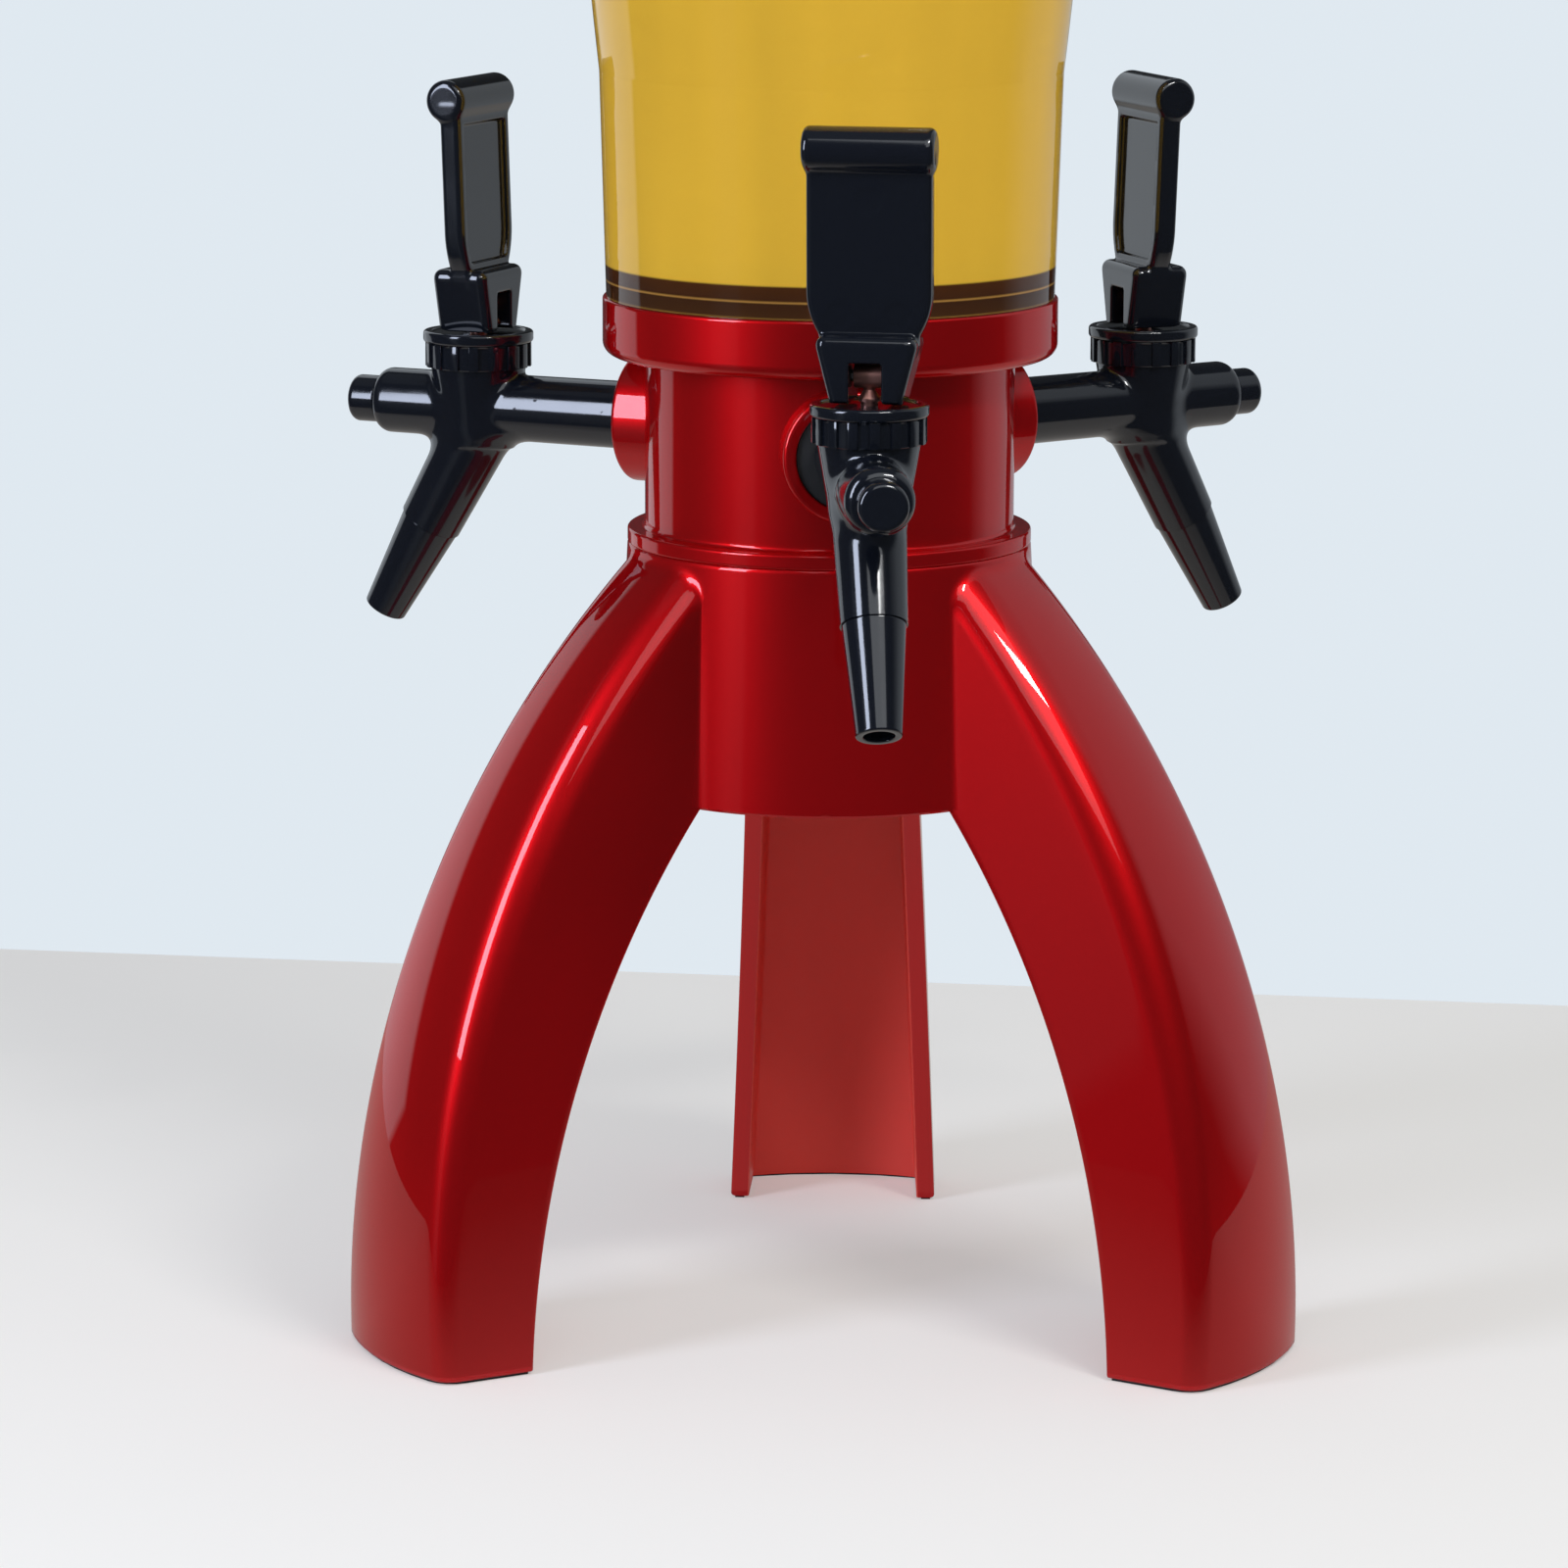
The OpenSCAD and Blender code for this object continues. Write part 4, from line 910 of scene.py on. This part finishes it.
def lever_field(x, y, z):
    """Fork with its rolling foot and slot, paddle with panel and marks, roll, and the pin's hole."""
    wide = np.abs(y)
    fork_half = np.minimum(10.45 + 4.2 * (z - FORK_FOOT) / 16.25, 14.65)
    fork = block(2.8, np.abs(x) - FORK_REACH, wide - fork_half, z - FORK_UP)
    sole = np.where(x > 5, 1.35 - np.sqrt(np.maximum(81 - (x - 5) ** 2, 1)), FORK_FOOT)
    slot = block(0.8, wide - SLOT_HALF, z - 4.4)
    fork = -soft_min(-np.maximum(fork, sole - z), slot, 0.8)
    c, s = math.cos(PADDLE_LEAN), math.sin(PADDLE_LEAN)
    u = c * (x - LEAN_X) - s * (z - LEAN_Z)
    w = s * (x - LEAN_X) + c * (z - LEAN_Z) + LEAN_Z
    half = paddle_half(w)
    dent = 0
    for mark_y, mark_z in MARKS:
        ring = np.sqrt((y - mark_y) ** 2 + (w - mark_z) ** 2) - MARK_R
        dent = dent + MARK_DEPTH * np.clip(0.5 - ring / 1.2, 0, 1)
    paddle = block(1.8, u - PADDLE_T + dent, -u - PADDLE_T, wide - half, 4.9 - w, w - ROLL_UP)
    panel = block(1.0, u + 2.0, wide - (half - 3.6), FORK_UP + 2 - w, w - (ROLL_UP - 7.6))
    paddle = -soft_min(-paddle, panel, 0.8)
    roll = block(2.0, np.sqrt((u - 1) ** 2 + (w - ROLL_UP) ** 2) - ROLL_R, wide - ROLL_HALF)
    lever = soft_min(soft_min(paddle, roll, 1.6), fork, 1.2)
    hole = block(0.2, np.sqrt(x * x + z * z) - PIN_R, wide - PIN_HALF)
    return np.maximum(lever, -hole)


lever_shell = surface_net(lever_field, (-10.5, -20.5, -9), (10.5, 20.5, 73), 0.5)
print("lever surface:", len(lever_shell[0]), "points")

# %% Stems, pins, cups and levers
for name, angle in TAPS.items():
    stem_body = "stem_" + name
    cad_piece("valve_stem_" + name, "spindle_" + name, stem_body, brass_painted_reflection, bevel=0.15)
    cad_piece("lever_pin_" + name, "pin_" + name, stem_body, steel)
    cad_piece("seat_cup_" + name, "cup_" + name, stem_body, rubber)
    at_pin = spin(angle) @ np.array([VALVE, 0, 0]) + np.array([0, 0, TAP_Z + PIN_Z])
    moved = placed(lever_shell, spin(angle + LEVER_TURNS[name]), at_pin)
    handle = mesh_object("handle_" + name, moved, sharp=60, weld=0)
    piece(handle, ["lever_" + name], "handle_" + name, black)

# %% [markdown]
# ## Stage
#
# The tower stands on a white table, and behind the table everything is the same
# pale blue-grey. A glossy thing shows the room it stands in. Here that room is a
# wide drum that only reflections see: dark, with a pale gap on either side at the
# back and a faint one at the front, which draw the long upright bands on lacquer
# and barrel. Its floor grows paler from the front to the back.

# %% Table and the pale ground behind it
PALE = (0.745, 0.815, 0.875, 1)
# Strength of the pale ground where it lights the object, and where glossy surfaces mirror it.
LIGHTING, MIRRORED = 0.56, 0.14
GLOW_ONLY = {"Base Color": (0, 0, 0, 1), "Specular IOR Level": 0.0}


def backdrop_level(tree, strength):
    """Full strength for what is seen, directly or through glass, less for what lights the object."""
    rays = tree.nodes.new("ShaderNodeLightPath")
    seen = tree.nodes.new("ShaderNodeMath")
    seen.operation = "MAXIMUM"
    tree.links.new(rays.outputs["Is Camera Ray"], seen.inputs[0])
    tree.links.new(rays.outputs["Is Transmission Ray"], seen.inputs[1])
    shine = tree.nodes.new("ShaderNodeMapRange")
    shine.inputs["To Min"].default_value = LIGHTING
    shine.inputs["To Max"].default_value = MIRRORED
    tree.links.new(rays.outputs["Is Glossy Ray"], shine.inputs["Value"])
    level = tree.nodes.new("ShaderNodeMapRange")
    level.inputs["To Max"].default_value = 1.0
    tree.links.new(shine.outputs["Result"], level.inputs["To Min"])
    tree.links.new(seen.outputs["Value"], level.inputs["Value"])
    tree.links.new(level.outputs["Result"], strength)


def stage_piece(name, points, faces, settings):
    """A stage object with a material of its own; returns it, its node tree and its shader."""
    mesh = bpy.data.meshes.new(name)
    mesh.from_pydata(points, [], faces)
    obj = new_object(name, mesh)
    material, tree, shader = new_material(name, settings)
    mesh.materials.append(material)
    print(f"stage piece {name}: {len(faces)} faces")
    return obj, tree, shader


far_left, far_right = (-4, 0.93, 0), (4, -0.03, 0)
_, tree, shader = stage_piece("table", [(-4, -4, 0), (4, -4, 0), far_right, far_left], [(0, 1, 2, 3)], {
    "Base Color": (0.60, 0.585, 0.55, 1), "Specular IOR Level": 0.0,
    "Emission Color": (0.30, 0.285, 0.28, 1),
})
# The camera alone sees the table this pale, so the object gets no more light from it.
rays = tree.nodes.new("ShaderNodeLightPath")
tree.links.new(rays.outputs["Is Camera Ray"], shader.inputs["Emission Strength"])
_, tree, shader = stage_piece("ground", [far_left, far_right, (4, 9, 0), (-4, 9, 0)], [(0, 1, 2, 3)], {
    **GLOW_ONLY, "Emission Color": PALE,
})
backdrop_level(tree, shader.inputs["Emission Strength"])

# %% A room with pale gaps, and its floor, seen by reflections only
def reflected(name, points, faces):
    """A glowing stage piece that only reflections see; returns its node tree and its shader."""
    obj, tree, shader = stage_piece(name, points, faces, {**GLOW_ONLY, "Emission Strength": 1.0})
    for kind in ("camera", "diffuse", "transmission", "volume_scatter", "shadow"):
        setattr(obj, "visible_" + kind, False)
    return tree, shader


AROUND = 96


def ring_points(radius, z, y=0.0):
    """Points on a level circle, in metres."""
    angles = np.linspace(0, 2 * math.pi, AROUND, endpoint=False)
    return [(radius * math.cos(a), y + radius * math.sin(a), z) for a in angles]


def tinted(grey, tint):
    """A grey with a tint."""
    return tuple(grey * t for t in tint)


COOL, WARM = (0.92, 1, 1.08), (1.05, 1, 0.93)
DARK, DIM, PALER = 0.045, 0.45, 0.8
ROOM_R, ROOM_H, LEANING = 2.5, 3.5, 0.045
GAPS = [(0.075, DARK), (0.10, 0.14), (0.122, 0.14), (0.127, DARK), (0.52, DARK), (0.57, DIM),
        (0.73, DIM), (0.74, DARK), (0.82, DARK), (0.83, PALER), (0.935, PALER), (0.94, DARK)]
drum = grid([ring_points(0.25, 0.0015), ring_points(ROOM_R, 0.0015), ring_points(ROOM_R, ROOM_H)],
            closed=True)
tree, shader = reflected("room", *drum)
place, axes = object_axes(tree)
around = tree.nodes.new("ShaderNodeTexGradient")
around.gradient_type = "RADIAL"
tree.links.new(place, around.inputs["Vector"])
leaning = tree.nodes.new("ShaderNodeMath")
leaning.operation = "MULTIPLY_ADD"
leaning.inputs[1].default_value = LEANING
tree.links.new(axes["Z"], leaning.inputs[0])
tree.links.new(around.outputs["Fac"], leaning.inputs[2])
stops = [(p, tinted(grey, COOL)) for p, grey in GAPS]
stops = [(0.0, (DARK, DARK, DARK)), *stops, (1.0, (DARK, DARK, DARK))]
panels = color_ramp(tree, leaning.outputs["Value"], stops)
tree.links.new(panels, shader.inputs["Emission Color"])

tree, shader = reflected("near_floor", ring_points(0.7, 0.0025, y=0.4), [tuple(range(AROUND))])
place, axes = object_axes(tree)
stops = [(0.0, (DARK, DARK, DARK)), (0.35, tinted(0.09, WARM)), (0.75, tinted(0.3, WARM)),
         (1.0, (0.47, 0.45, 0.43))]
paling = color_ramp(tree, between(tree, axes["Y"], -0.35, -0.05), stops)
tree.links.new(paling, shader.inputs["Emission Color"])

# %% [markdown]
# ## Camera and light
#
# The camera stands in front, a little above the taps, with a long lens. The lamps
# are soft: a tall cool one on the left, like a window, a narrow one high on the
# right for the corners of the legs, and a wide one above.

# %% Camera
scene = bpy.context.scene
scene.view_settings.view_transform = "Standard"
camera = bpy.data.objects.new("camera", bpy.data.cameras.new("camera"))
scene.collection.objects.link(camera)
yaw, pitch, roll = math.radians(-1.486), math.radians(11.087), math.radians(0.204)
camera.location = (0.0349, -1.8744, 0.53305)
ahead = Vector((math.sin(yaw) * math.cos(pitch), math.cos(yaw) * math.cos(pitch), -math.sin(pitch)))
level = Vector((math.cos(yaw), -math.sin(yaw), 0))
above = level.cross(ahead)
turn = camera.matrix_world.to_3x3()
turn.col[0] = math.cos(roll) * level + math.sin(roll) * above
turn.col[1] = math.cos(roll) * above - math.sin(roll) * level
turn.col[2] = -ahead
camera.rotation_euler = turn.to_euler()
camera.data.lens = 140.55
camera.data.sensor_width = 36
scene.camera = camera

# %% Light
world = bpy.data.worlds.new("world")
scene.world = world
world.use_nodes = True
sky = world.node_tree.nodes["Background"]
sky.inputs["Color"].default_value = PALE
backdrop_level(world.node_tree, sky.inputs["Strength"])


def soft_light(name, place, aim, width, height, power):
    """A rectangular soft light that looks at a point."""
    data = bpy.data.lights.new(name, "AREA")
    data.shape = "RECTANGLE"
    data.size = width
    data.size_y = height
    data.energy = power
    lamp = bpy.data.objects.new(name, data)
    lamp.location = place
    lamp.rotation_euler = (Vector(aim) - Vector(place)).to_track_quat("-Z", "Y").to_euler()
    scene.collection.objects.link(lamp)
    lamp.visible_camera = False
    return lamp


window = soft_light("window", (-1.08, -0.8, 0.83), (0, -0.06, 0.83), 0.38, 1.0, 13)
window.data.color = (0.72, 0.8, 1.0)
high = soft_light("high", (0.66, -0.95, 1.4), (0.05, -0.05, 0.22), 0.5, 0.14, 8)
over = soft_light("over", (0.35, -1.4, 1.6), (0, -0.1, 0.2), 1.7, 1.1, 8)
over.data.color = (0.9, 0.95, 1.0)
print("lamps:", [o.name for o in (window, high, over)])
